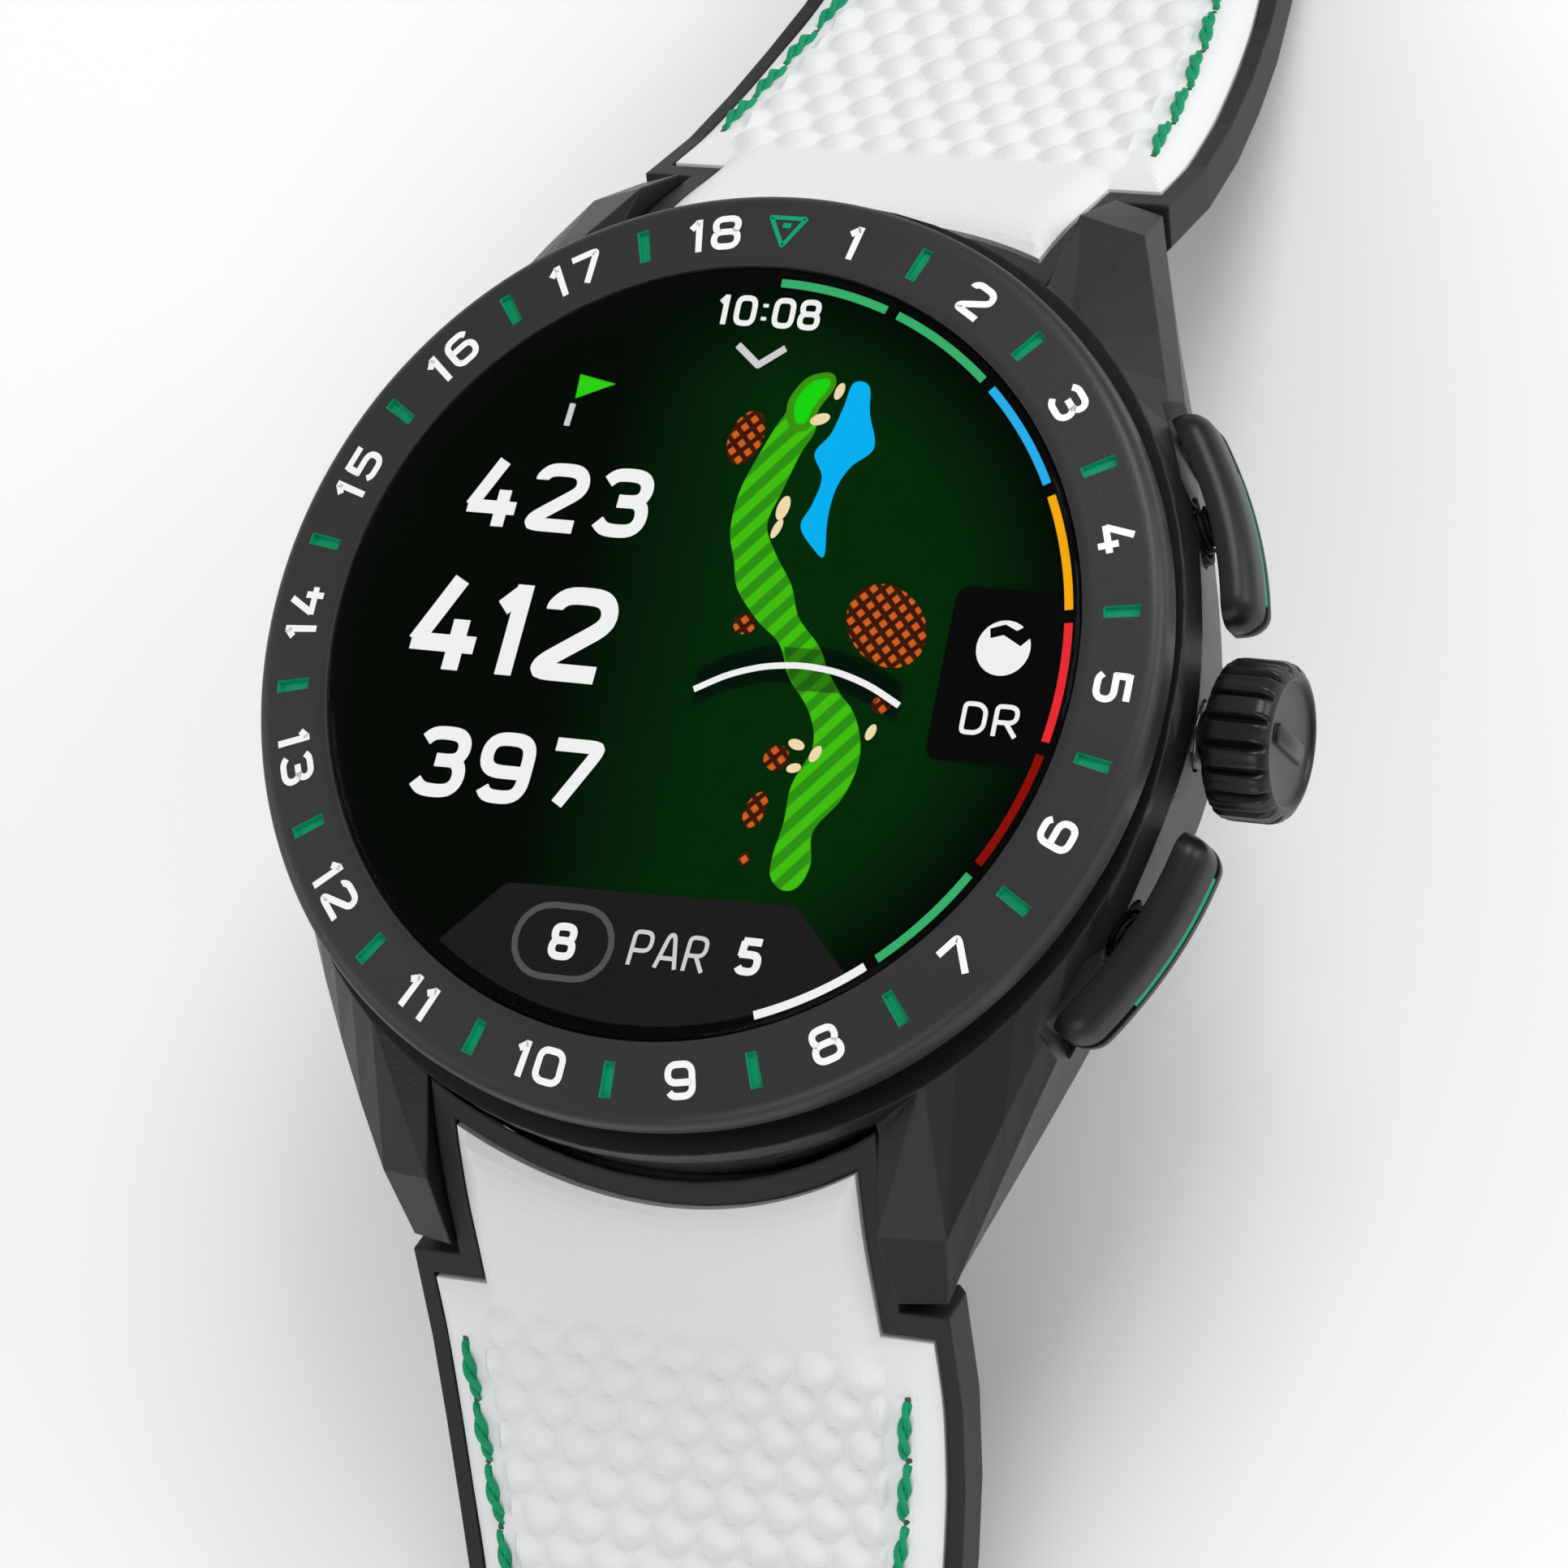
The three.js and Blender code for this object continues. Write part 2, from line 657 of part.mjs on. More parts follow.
// The tube's pocket holds the o-ring, and over it the spring that pushes the head out.
const crownPocket = 2.0;
const oRingEnd = tubeEnd - crownPocket + 0.65;
const oRing = cut(
  axle(tubeRadius - 0.3, oRingEnd - 0.6, oRingEnd, 0, 0),
  axle(stemRadius + 0.05, 0, 40, 0, 0)
);
place("crown_tube", sleeve(crownPocket, tubeEnd), steel, crownAxis);
place("crown_o_ring", oRing, rubber, crownAxis);
place("crown_plunger", axle(1.2, mainBore - 2.1, mainBore - 1.35, 0, 0), steel, crownAxis);
const crownCoil = coil(stemRadius + 0.25, 0.1, oRingEnd + 0.05, crownStart - 0.05, 4);
place("crown_spring", crownCoil, steel, crownAxis);

// ---------------------------------------------------------------------------
// Side pushers: curved blades that follow the flank
// ---------------------------------------------------------------------------
const pusherTurn = THREE.MathUtils.degToRad(pusherAngle);

function pusherCap() {
  const half = pusherHeight / 2;
  const layers = [[-half, 0.35], [-half + 0.35, 0], [half - 0.55, 0], [half, 0.5]];
  const body = loft(layers.map(([z, inset]) => {
    const outer = pusherPlan(inset);
    const inner = pusherPlan(pusherThickness).reverse();
    return [...outer, ...inner].map(([x, y]) => new THREE.Vector3(x, y, z));
  }));
  const groove = pusherBand(-0.5, 0.45, 0.62, 0.28);
  const socket = axle(stemRadius + 0.05, 0, pusherSeat + 0.9, 0, 0).rotateZ(pusherTurn);
  return cut(body, groove, socket);
}

// A thin band along the outer face, from an inset to another, for the green line.
function pusherBand(outside, inside, height, halfThickness) {
  const outer = pusherPlan(outside).slice(0, 8);
  const inner = pusherPlan(inside).slice(0, 8).reverse();
  return prism([...outer, ...inner], height - halfThickness, height + halfThickness);
}

// Distance from the case centre to the blade's inner face, along the pusher's axis.
const pusherSeat = (() => {
  const inner = pusherPlan(pusherThickness, 200);
  const turn = (p) => Math.abs(Math.atan2(p[1], p[0]) - pusherTurn);
  const nearest = inner.reduce((best, p) => (turn(p) < turn(best) ? p : best));
  return Math.hypot(...nearest);
})();

const guideEnd = pusherSeat - pusherTravel - 0.4; // the guide stays clear of a pressed blade

[["upper", 1], ["lower", -1]].forEach(([side, mirror]) => {
  const group = new THREE.Group();
  group.position.z = axisHeight;
  group.scale.y = mirror;
  watch.add(group);
  const turn = (geometry) => geometry.rotateZ(pusherTurn);
  place(`${side}_pusher_cap`, pusherCap(), blackSteel, group);
  place(`${side}_pusher_inlay`, pusherBand(-0.03, 0.37, 0.62, 0.2), greenResin, group);
  const stem = axle(stemRadius, mainBore - 1.2, pusherSeat + 0.8, 0, 0);
  place(`${side}_pusher_stem`, turn(stem), steel, group);
  place(`${side}_pusher_guide`, turn(sleeve(1.2, guideEnd)), steel, group);
  const spring = coil(stemRadius + 0.22, 0.1, guideEnd - 1.1, pusherSeat - 0.05, 4);
  place(`${side}_pusher_spring`, turn(spring), steel, group);
});

// ---------------------------------------------------------------------------
// Strap
// ---------------------------------------------------------------------------
// The strap's upper rim in side view: [distance out from the spring bar, height].
// It falls steeply past the lugs and eases until it lies level.
const rimFall = [
  [-5.4, 8.9],
  [-2.7, 6.75],
  [0, 4.15],
  [2.6, 1.1],
  [5.6, -2.3],
  [8.8, -5.1],
  [12.1, -7.5],
  [15.3, -9.6],
  [19.6, -11.7],
];
const tableHeight = -17.8; // the surface that the watch lies on
const restHeight = tableHeight + strapThickness; // rim height where the strap lies level

// The strap's side curve: the fall, and then a level stretch.
function strapCurve(length) {
  const points = rimFall.map(([y, z]) => new THREE.Vector3(0, barY + y, z));
  const easing = [[24.5, 1.5], [30, 0.45], [35, 0.05], [40, 0], [length + 3, 0]];
  easing.forEach(([y, lift]) => points.push(new THREE.Vector3(0, barY + y, restHeight + lift)));
  return new THREE.CatmullRomCurve3(points, false, "centripetal");
}

// Stations along the curve, each with its position and the upward normal.
function stations(curve, fromY, toY, step) {
  const samples = curve.getPoints(600);
  const picked = [];
  const count = Math.ceil((toY - fromY) / step);
  for (let i = 0; i <= count; i++) {
    const y = fromY + ((toY - fromY) * i) / count;
    const k = Math.max(1, samples.findIndex((p) => p.y >= y));
    const [a, b] = [samples[k - 1], samples[k]];
    const point = a.clone().lerp(b, (y - a.y) / (b.y - a.y));
    const along = b.clone().sub(a).normalize();
    picked.push({ point, up: new THREE.Vector3(0, -along.z, along.y) });
  }
  return picked;
}

// A strip along stations; sectionAt(y) gives its section as [x, height above the rim] pairs.
function strip(curve, fromY, toY, step, sectionAt) {
  return loft(stations(curve, fromY, toY, step).map(({ point, up }) => {
    return sectionAt(point.y).map(([x, lift]) => {
      return new THREE.Vector3(x, 0, 0).add(point).addScaledVector(up, lift);
    });
  }));
}

function halfWidth(y) {
  const ease = THREE.MathUtils.smoothstep(y, barY + 3.6, barY + 36.6);
  return strapWide - (strapWide - strapNarrow) * ease;
}

function slab(half, top, bottom, chamfer) {
  return [
    [half, top], [half, bottom + chamfer], [half - chamfer, bottom],
    [chamfer - half, bottom], [-half, bottom + chamfer], [-half, top],
  ];
}

// A pillow-topped section: flat near the middle, rolling down at the edges.
function pillow(half, bottom, edge, dome) {
  const top = [-1, -0.96, -0.88, -0.7, -0.35, 0, 0.35, 0.7, 0.88, 0.96, 1].map((u) => {
    return [u * half, edge + dome * (1 - Math.abs(u) ** 7)];
  });
  return [[half, bottom], [-half, bottom], ...top];
}

const endHalf = lugInner - gap; // half width between the lugs
const endThickness = 4.1;
const wideStart = lugReach + 0.25;
const leatherArc = shoulderRadius + 1.0;
const leatherNarrow = endHalf - 1.0;
const leatherWideStart = wideStart + leatherRim;
const narrowDepth = 0.5; // the leather is skived thin over the spring bar
const endBarZ = restHeight - strapThickness / 2;
const noseRadius = strapThickness / 2;
const noseHalf = claspWidth - 2.2; // half width of the strap's end

function rubberBase(curve, endY, leatherEnd) {
  const narrow = strip(curve, barY - 5, wideStart + 1.2, 1.1, () => slab(endHalf, 0, -endThickness, 0.5));
  const wide = strip(curve, wideStart, endY, 3.4, (y) => slab(halfWidth(y), 0, -strapThickness, 0.5));
  const narrowPocket = strip(curve, barY - 4.5, leatherWideStart + 1, 1.1, () => {
    return slab(leatherNarrow, 3, -narrowDepth, 0.1);
  });
  const widePocket = strip(curve, leatherWideStart, leatherEnd, 3.4, (y) => {
    return slab(halfWidth(y) - leatherRim, 3, -leatherDepth, 0.1);
  });
  const pocket = cut(join(narrowPocket, widePocket), post(leatherArc, -10, 20, 72));
  // Clears the case and leaves a round nose about the spring bar for the strap to swing on.
  const nose = cut(
    block([-20, barY - 8, barHeight - 8], [20, barY, barHeight]),
    axle(barOffset - 0.75, -21, 21, barY, barHeight)
  );
  const barHole = axle(barRadius + runGap, -20, 20, barY, barHeight);
  const leverSlot = block([6.2, barY - 0.7, barHeight - 6], [9.9, barY + 0.7, barHeight]);
  return cut(join(narrow, wide), pocket, post(shoulderRadius + gap, -10, 20, 72), nose, barHole, leverSlot);
}

function leatherCover(curve, leatherEnd) {
  const narrow = strip(curve, barY - 4.5, leatherWideStart + 1 + gap, 1.1, () => {
    return pillow(leatherNarrow - gap, gap - narrowDepth, 0.1, leatherDome * 0.5);
  });
  const wide = strip(curve, leatherWideStart + gap, leatherEnd - gap, 3.4, (y) => {
    return pillow(halfWidth(y) - leatherRim - gap, gap - leatherDepth, 0.1, leatherDome);
  });
  return cut(join(narrow, wide), post(leatherArc + gap, -10, 20, 72));
}

// The spring bar: a tube with one fixed tip and a bore and slot for the sliding pin.
function springBar() {
  const body = join(
    axle(barRadius, -endHalf + 0.1, endHalf - 0.1, barY, barHeight),
    axle(0.45, -lugInner - 1.3, 0, barY, barHeight, 16)
  );
  const bore = axle(0.57, 5.8, 20, barY, barHeight, 16);
  const slot = block([6.2, barY - 0.5, barHeight - 2], [9.9, barY + 0.5, barHeight]);
  return cut(body, bore, slot);
}

// The sliding pin with the thumb knob under the strap.
function releasePin() {
  const pin = axle(0.45, 8.2, lugInner + 1.3, barY, barHeight, 16);
  const stalk = post(0.35, barHeight - 2.9, barHeight, 12, 9.1, barY);
  const knob = post(0.6, barHeight - 3.3, barHeight - 2.5, 16, 9.1, barY);
  return join(pin, stalk, knob);
}

// The base with its far end narrowed and rounded about the clasp's bar.
function strapBase(curve, length) {
  const endY = barY + length;
  const base = rubberBase(curve, endY + noseRadius, endY - 8);
  const sides = [1, -1].map((side) => {
    const [x0, x1] = [side * noseHalf, side * 20].sort((a, b) => a - b);
    return block([x0, endY - 4.5, endBarZ - 5], [x1, endY + 5, endBarZ + 5]);
  });
  const noseBox = block([-20, endY, endBarZ - 5], [20, endY + 5, endBarZ + 5]);
  const nose = cut(noseBox, axle(noseRadius, -21, 21, endY, endBarZ));
  return cut(base, ...sides, nose, axle(0.75 + runGap, -20, 20, endY, endBarZ));
}

[["upper", 0, upperLength], ["lower", Math.PI, lowerLength]].forEach(([side, turn, length]) => {
  const group = new THREE.Group();
  group.rotation.z = turn;
  watch.add(group);
  const curve = strapCurve(length);
  place(`${side}_strap_base`, strapBase(curve, length), rubber, group);
  place(`${side}_strap_leather`, leatherCover(curve, barY + length - 8), leather, group);
  place(`${side}_spring_bar`, springBar(), steel, group);
  place(`${side}_release_pin`, releasePin(), steel, group);
});

// ---------------------------------------------------------------------------
// Folding clasp at the end of the upper strap half
// ---------------------------------------------------------------------------
// Its plates are concentric arcs. A place on them is an arc length s from the cover's
// middle and a radius; the arcs are turned so that both ends stand on the table.
const claspTilt = 3.6;
const claspBar = [-15, claspRadius - 2.7];
const claspAngle = (s) => (s - claspTilt) / 60;
const claspCentreY = barY + upperLength - claspBar[1] * Math.sin(claspAngle(claspBar[0]));
const claspCentreZ = endBarZ - claspBar[1] * Math.cos(claspAngle(claspBar[0]));

function onClasp(s, radius) {
  const angle = claspAngle(s);
  return [claspCentreY + radius * Math.sin(angle), claspCentreZ + radius * Math.cos(angle)];
}

function claspBand(inner, outer, from, to, half) {
  const steps = 10;
  const edge = (radius) => Array.from({ length: steps + 1 }, (_, i) => {
    return onClasp(from + ((to - from) * i) / steps, radius);
  });
  return sideProfile([...edge(inner), ...edge(outer).reverse()], half);
}

function claspAxle(radius, half, s, r, segments = 16) {
  const [y, z] = onClasp(s, r);
  return axle(radius, -half, half, y, z, segments);
}

const middleOuter = claspRadius - claspPlate - 1.0;
const middleInner = middleOuter - bladePlate;
const bottomOuter = middleInner - 0.5;
const bottomInner = bottomOuter - bladePlate;
const coverHinge = [14, middleOuter - 0.3];
const bladeHinge = [-9.5, middleInner - 0.25];
const endBar = [11.3, bottomInner - 0.35];
const skirt = 1.0;
const hingePin = 0.6;
const knuckle = 1.1;
const button = [-4, middleInner + 0.1];
const middleHalf = claspWidth - skirt - 0.4;
const bottomHalf = noseHalf + 1.0;

function claspCover() {
  const shell = claspBand(middleInner - 0.4, claspRadius, -12.5, 15.4, claspWidth);
  const room = claspBand(middleInner - 2, claspRadius - claspPlate, -14, 18, claspWidth - skirt);
  const ears = [1, -1].map((side) => {
    const ear = claspBand(middleInner - 0.4, claspRadius - 0.9, -16.4, -11, skirt / 2);
    return ear.translate(side * (claspWidth - skirt / 2), 0, 0);
  });
  const [buttonY, buttonZ] = onClasp(...button);
  const window = block([-20, buttonY - 1.9, buttonZ - 0.65], [20, buttonY + 1.9, buttonZ + 0.65]);
  return cut(
    join(cut(shell, room), ...ears),
    claspAxle(hingePin + runGap, 20, ...coverHinge),
    claspAxle(0.75 + runGap, 20, ...claspBar),
    window
  );
}

function middleBlade() {
  const plate = claspBand(middleInner, middleOuter, -9.5, 14, middleHalf - 1.4);
  const outer = claspAxle(knuckle, middleHalf, ...coverHinge);
  const inner = claspAxle(knuckle, 4.5, ...bladeHinge);
  const clear = [1, -1].map((side) => {
    const [x0, x1] = [side * 4.5, side * 20].sort((a, b) => a - b);
    return axle(knuckle + 0.3, x0, x1, ...onClasp(...bladeHinge));
  });
  return cut(
    join(cut(plate, ...clear), outer, inner),
    claspAxle(hingePin + runGap, 20, ...coverHinge),
    claspAxle(hingePin + runGap, 20, ...bladeHinge)
  );
}

// The bottom blade ends in two ears with the bar that the lower strap half hooks on.
function bottomBlade() {
  const plate = claspBand(bottomInner, bottomOuter, -9.5, 9.6, noseHalf - 0.4);
  const knuckles = claspAxle(knuckle, noseHalf - 0.4, ...bladeHinge);
  const middle = claspAxle(knuckle + 0.3, 4.8, ...bladeHinge);
  const arms = claspBand(bottomInner, bottomOuter, 6.5, 9.6, bottomHalf);
  const ears = [1, -1].map((side) => {
    const [x0, x1] = [side * (noseHalf + gap), side * bottomHalf].sort((a, b) => a - b);
    const bar = axle(1.3, x0, x1, ...onClasp(...endBar), 20);
    const arm = claspBand(endBar[1] - 0.9, bottomOuter, 8, 11.6, (x1 - x0) / 2);
    return join(bar, arm.translate((x0 + x1) / 2, 0, 0));
  });
  return cut(
    join(plate, knuckles, arms, ...ears),
    middle,
    claspAxle(hingePin + runGap, 20, ...bladeHinge),
    claspAxle(0.75 + runGap, 20, ...endBar)
  );
}

function claspButton(side) {
  const [y, z] = onClasp(...button);
  const span = (a, b) => [side * a, side * b].sort((p, q) => p - q);
  const [cap0, cap1] = span(claspWidth + 0.75, claspWidth + 2.0);
  const [shank0, shank1] = span(claspWidth - skirt - 0.5, claspWidth + 1.0);
  const cap = block([cap0, y - 2.6, z - 1.2], [cap1, y + 2.6, z + 1.2]);
  const shank = block([shank0, y - 1.7, z - 0.5], [shank1, y + 1.7, z + 0.5]);
  return join(cap, shank);
}

place("clasp_cover", claspCover(), blackSteel);
place("clasp_middle_blade", middleBlade(), blackSteel);
place("clasp_bottom_blade", bottomBlade(), blackSteel);
place("clasp_strap_bar", claspAxle(0.75, claspWidth - 0.1, ...claspBar), steel);
place("clasp_end_bar", claspAxle(0.75, bottomHalf - 0.1, ...endBar), steel);
place("clasp_cover_pin", claspAxle(hingePin, claspWidth - 0.1, ...coverHinge), steel);
place("clasp_blade_pin", claspAxle(hingePin, noseHalf - 0.5, ...bladeHinge), steel);
place("clasp_button_left", claspButton(-1), blackSteel);
place("clasp_button_right", claspButton(1), blackSteel);

export default watch;
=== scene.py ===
# %% [markdown]
# # A golf watch, from case to stitches
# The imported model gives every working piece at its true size. It is loaded first and never
# moved, and everything made below is laid over it or takes the place of one of its pieces.
# All sizes here are written in millimetres and turned into metres at the last moment.

# %% Load the frame
import json
import math

import bmesh
import bpy
import numpy as np
from mathutils import Matrix, Vector


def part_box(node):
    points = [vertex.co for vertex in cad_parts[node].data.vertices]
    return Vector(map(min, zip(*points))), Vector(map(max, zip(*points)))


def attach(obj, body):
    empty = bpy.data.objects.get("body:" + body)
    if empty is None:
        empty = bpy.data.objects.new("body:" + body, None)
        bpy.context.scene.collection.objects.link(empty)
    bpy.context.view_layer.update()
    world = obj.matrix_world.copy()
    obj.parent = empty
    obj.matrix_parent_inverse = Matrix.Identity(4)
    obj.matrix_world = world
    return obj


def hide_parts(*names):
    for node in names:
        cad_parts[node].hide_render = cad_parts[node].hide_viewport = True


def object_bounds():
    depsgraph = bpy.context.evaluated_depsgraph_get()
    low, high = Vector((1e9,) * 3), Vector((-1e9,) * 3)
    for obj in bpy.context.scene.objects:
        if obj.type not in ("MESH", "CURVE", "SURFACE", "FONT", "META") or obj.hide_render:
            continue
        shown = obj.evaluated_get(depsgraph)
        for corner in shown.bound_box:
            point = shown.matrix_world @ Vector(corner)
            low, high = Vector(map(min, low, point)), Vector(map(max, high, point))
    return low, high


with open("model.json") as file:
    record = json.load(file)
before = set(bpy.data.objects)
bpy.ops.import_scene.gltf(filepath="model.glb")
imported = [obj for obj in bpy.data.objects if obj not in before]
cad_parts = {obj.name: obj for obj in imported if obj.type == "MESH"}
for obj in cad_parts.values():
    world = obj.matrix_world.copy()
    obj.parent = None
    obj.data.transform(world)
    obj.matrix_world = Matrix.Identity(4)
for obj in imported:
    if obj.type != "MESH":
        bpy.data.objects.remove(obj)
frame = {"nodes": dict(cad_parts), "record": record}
MM = 0.001
cad_bounds = [list(corner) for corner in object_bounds()]
print("CAD box in metres:", cad_bounds)

# %% [markdown]
# ## Camera and light
# The watch is seen from above and from the crown's side, through a long lens, so the camera
# stands a third of a metre off. Its turn is given by three directions: to the right, up and
# back. The room is a pale floor under large soft lamps, which draw long gradients on the black
# metal; small lamps would leave dots. The colours are shown without a film curve, so that the
# lit screen keeps its full contrast.

# %% Camera
camera_data = bpy.data.cameras.new("camera")
camera_data.lens = 156.05          # millimetres, for a sensor 36 mm wide
camera_data.sensor_width = 36.0
camera_data.clip_start = 0.01
camera_data.clip_end = 20.0
camera = bpy.data.objects.new("camera", camera_data)
bpy.context.scene.collection.objects.link(camera)
right = Vector((0.91101, 0.19676, -0.36242))
up = Vector((-0.09171, 0.95349, 0.28712))
back = Vector((0.40206, -0.22833, 0.88669))
CAMERA_PLACE = Vector((128.05, -75.45, 283.11))
turn = Matrix((right, up, back)).transposed().to_4x4()
camera.matrix_world = Matrix.Translation(CAMERA_PLACE * MM) @ turn
bpy.context.scene.camera = camera
bpy.context.scene.view_settings.view_transform = "Standard"
print("camera at", [round(v, 3) for v in camera.matrix_world.translation])

# %% Soft lamps and a pale world


def soft_lamp(name, place, size, power):
    """A square white area lamp at a place in metres, aimed at the middle of the case."""
    data = bpy.data.lights.new(name, "AREA")
    data.size = size
    data.energy = power
    lamp = bpy.data.objects.new(name, data)
    bpy.context.scene.collection.objects.link(lamp)
    lamp.location = place
    lamp.rotation_euler = (-Vector(place)).to_track_quat("-Z", "Y").to_euler()


for lamp_name, lamp_place, lamp_size, lamp_power in (
        ("lamp_over", (0.16, 0.34, 0.50), 0.26, 1.75),
        ("lamp_left", (-0.50, -0.10, 0.28), 0.35, 0.75),
        ("lamp_right", (0.48, 0.22, 0.22), 0.30, 1.2),
        ("lamp_front", (0.10, -0.50, 0.30), 0.40, 1.15)):
    soft_lamp(lamp_name, lamp_place, lamp_size, lamp_power)
world = bpy.data.worlds.new("studio")
world.use_nodes = True
world.node_tree.nodes["Background"].inputs["Color"].default_value = (0.93, 0.94, 0.96, 1.0)
world.node_tree.nodes["Background"].inputs["Strength"].default_value = 0.46
bpy.context.scene.world = world
print("4 lamps and a pale world")

# %% [markdown]
# ## Helpers for making a mesh
# A piece's finished object sits at the origin, with its place in its mesh. `make_piece` turns
# lists of points and faces into such an object, shades it smooth up to a sharp angle, and
# leaves its finishes on it. `tie_grid` joins rows of points with four-sided faces, which is how
# every turned or swept shape below is made, and `tube_faces` adds two ends. `face_outwards`
# puts the faces of a closed piece the right way round, and `keep` lets a piece ride on its body.

# %% Mesh helpers
SAME_PLACE = 1e-7    # metres; points closer than this are one point


def make_piece(name, points, faces, materials, face_materials=None, smooth=35.0):
    """A mesh object from points in millimetres."""
    mesh = bpy.data.meshes.new(name)
    mesh.from_pydata([tuple(c * MM for c in p) for p in points], [], faces)
    for material in materials:
        mesh.materials.append(material)
    if face_materials is not None:
        mesh.polygons.foreach_set("material_index", face_materials)
    mesh.update()
    obj = bpy.data.objects.new(name, mesh)
    bpy.context.scene.collection.objects.link(obj)
    if smooth:
        mesh.shade_smooth()
        mesh.set_sharp_from_angle(angle=math.radians(smooth))
    return obj


def tie_grid(rows, columns, start=0, close_columns=False, close_rows=False):
    """Faces that join rows of points, numbered row by row from start."""
    faces = []
    for r in range(rows if close_rows else rows - 1):
        for c in range(columns if close_columns else columns - 1):
            r2, c2 = (r + 1) % rows, (c + 1) % columns
            faces.append(tuple(start + i for i in (
                r * columns + c, r * columns + c2, r2 * columns + c2, r2 * columns + c)))
    return faces


def tube_faces(rows, columns, start=0):
    """Faces of a closed tube: the grid round it, then its two ends."""
    last = start + (rows - 1) * columns
    ends = [tuple(range(start, start + columns)), tuple(range(last, last + columns))]
    return tie_grid(rows, columns, start=start, close_columns=True) + ends


def face_outwards(obj):
    """Merges doubled points and turns every face of a closed mesh outwards."""
    work = bmesh.new()
    work.from_mesh(obj.data)
    bmesh.ops.remove_doubles(work, verts=work.verts, dist=SAME_PLACE)
    bmesh.ops.recalc_face_normals(work, faces=work.faces)
    work.to_mesh(obj.data)
    work.free()
    obj.data.update()


def keep(obj, body, slot, *nodes):
    """Ties a piece to its body, and to the CAD nodes that it stands for; slot is not used."""
    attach(obj, body)
    if nodes:
        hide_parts(*nodes)
    print(obj.name, len(obj.data.polygons), "faces, rides on", body)
    return obj


# %% [markdown]
# ## Effects that several finishes share
# Three effects come back in many finishes, so each is a node group that is built once.
# `fine_grain` gives the tiny roughness of blasted metal, rubber or moulded plastic, and softens
# every corner of a part by a small radius, as tumbling does. `edge_wear` finds those corners and
# puts out a mask that is broken up by noise. `smudges` is a slow cloudy mask, for the faint
# marks that handling leaves. All three read the object's own coordinates, so nothing slides.

# %% Shader groups


def new_group(name, inputs, outputs):
    """A shader group with float inputs as {name: value} and outputs as {name: socket type}."""
    group = bpy.data.node_groups.new(name, "ShaderNodeTree")
    for label, value in inputs.items():
        socket = group.interface.new_socket(label, in_out="INPUT", socket_type="NodeSocketFloat")
        socket.default_value = value
    for label, kind in outputs.items():
        group.interface.new_socket(label, in_out="OUTPUT", socket_type=kind)
    return group, group.nodes.new("NodeGroupInput"), group.nodes.new("NodeGroupOutput")


def noise_on_object(tree, detail, scale=None):
    """A noise texture on object coordinates."""
    coords = tree.nodes.new("ShaderNodeTexCoord")
    noise = tree.nodes.new("ShaderNodeTexNoise")
    noise.inputs["Detail"].default_value = detail
    if scale:
        noise.inputs["Scale"].default_value = scale
    tree.links.new(coords.outputs["Object"], noise.inputs["Vector"])
    return noise


def map_range(tree, value, low, high, to_low=0.0, to_high=1.0):
    """A Map Range node that reads a socket."""
    node = tree.nodes.new("ShaderNodeMapRange")
    for label, number in (("From Min", low), ("From Max", high), ("To Min", to_low), ("To Max", to_high)):
        node.inputs[label].default_value = number
    tree.links.new(value, node.inputs["Value"])
    return node.outputs["Result"]


def multiply(tree, first, second):
    """The product of two sockets."""
    node = tree.nodes.new("ShaderNodeMath")
    node.operation = "MULTIPLY"
    tree.links.new(first, node.inputs[0])
    tree.links.new(second, node.inputs[1])
    return node.outputs["Value"]


def new_material(name):
    """A material, its node tree and its Principled shader."""
    material = bpy.data.materials.new(name)
    material.use_nodes = True
    tree = material.node_tree
    return material, tree, tree.nodes["Principled BSDF"]


BEVEL_SAMPLES = 4
fine_grain, grain_in, grain_out = new_group(
    "fine_grain", {"Scale": 4000.0, "Depth": 0.00001, "Corner": 0.0001},
    {"Normal": "NodeSocketVector", "Speckle": "NodeSocketFloat"})
speckle = noise_on_object(fine_grain, 3.0)
corner = fine_grain.nodes.new("ShaderNodeBevel")
corner.samples = BEVEL_SAMPLES
grain_bump = fine_grain.nodes.new("ShaderNodeBump")
fine_grain.links.new(grain_in.outputs["Scale"], speckle.inputs["Scale"])
fine_grain.links.new(grain_in.outputs["Corner"], corner.inputs["Radius"])
fine_grain.links.new(grain_in.outputs["Depth"], grain_bump.inputs["Distance"])
fine_grain.links.new(speckle.outputs["Fac"], grain_bump.inputs["Height"])
fine_grain.links.new(corner.outputs["Normal"], grain_bump.inputs["Normal"])
fine_grain.links.new(grain_bump.outputs["Normal"], grain_out.inputs["Normal"])
fine_grain.links.new(speckle.outputs["Fac"], grain_out.inputs["Speckle"])

edge_wear, wear_in, wear_out = new_group(
    "edge_wear", {"Radius": 0.00012, "Amount": 0.5}, {"Mask": "NodeSocketFloat"})
rounded = edge_wear.nodes.new("ShaderNodeBevel")
rounded.samples = BEVEL_SAMPLES
flat = edge_wear.nodes.new("ShaderNodeNewGeometry")
likeness = edge_wear.nodes.new("ShaderNodeVectorMath")
likeness.operation = "DOT_PRODUCT"
edge_wear.links.new(wear_in.outputs["Radius"], rounded.inputs["Radius"])
edge_wear.links.new(rounded.outputs["Normal"], likeness.inputs[0])
edge_wear.links.new(flat.outputs["Normal"], likeness.inputs[1])
edge = map_range(edge_wear, likeness.outputs["Value"], 0.99, 0.86)
patches = map_range(edge_wear, noise_on_object(edge_wear, 4.0, 900.0).outputs["Fac"], 0.35, 0.65)
broken = multiply(edge_wear, edge, patches)
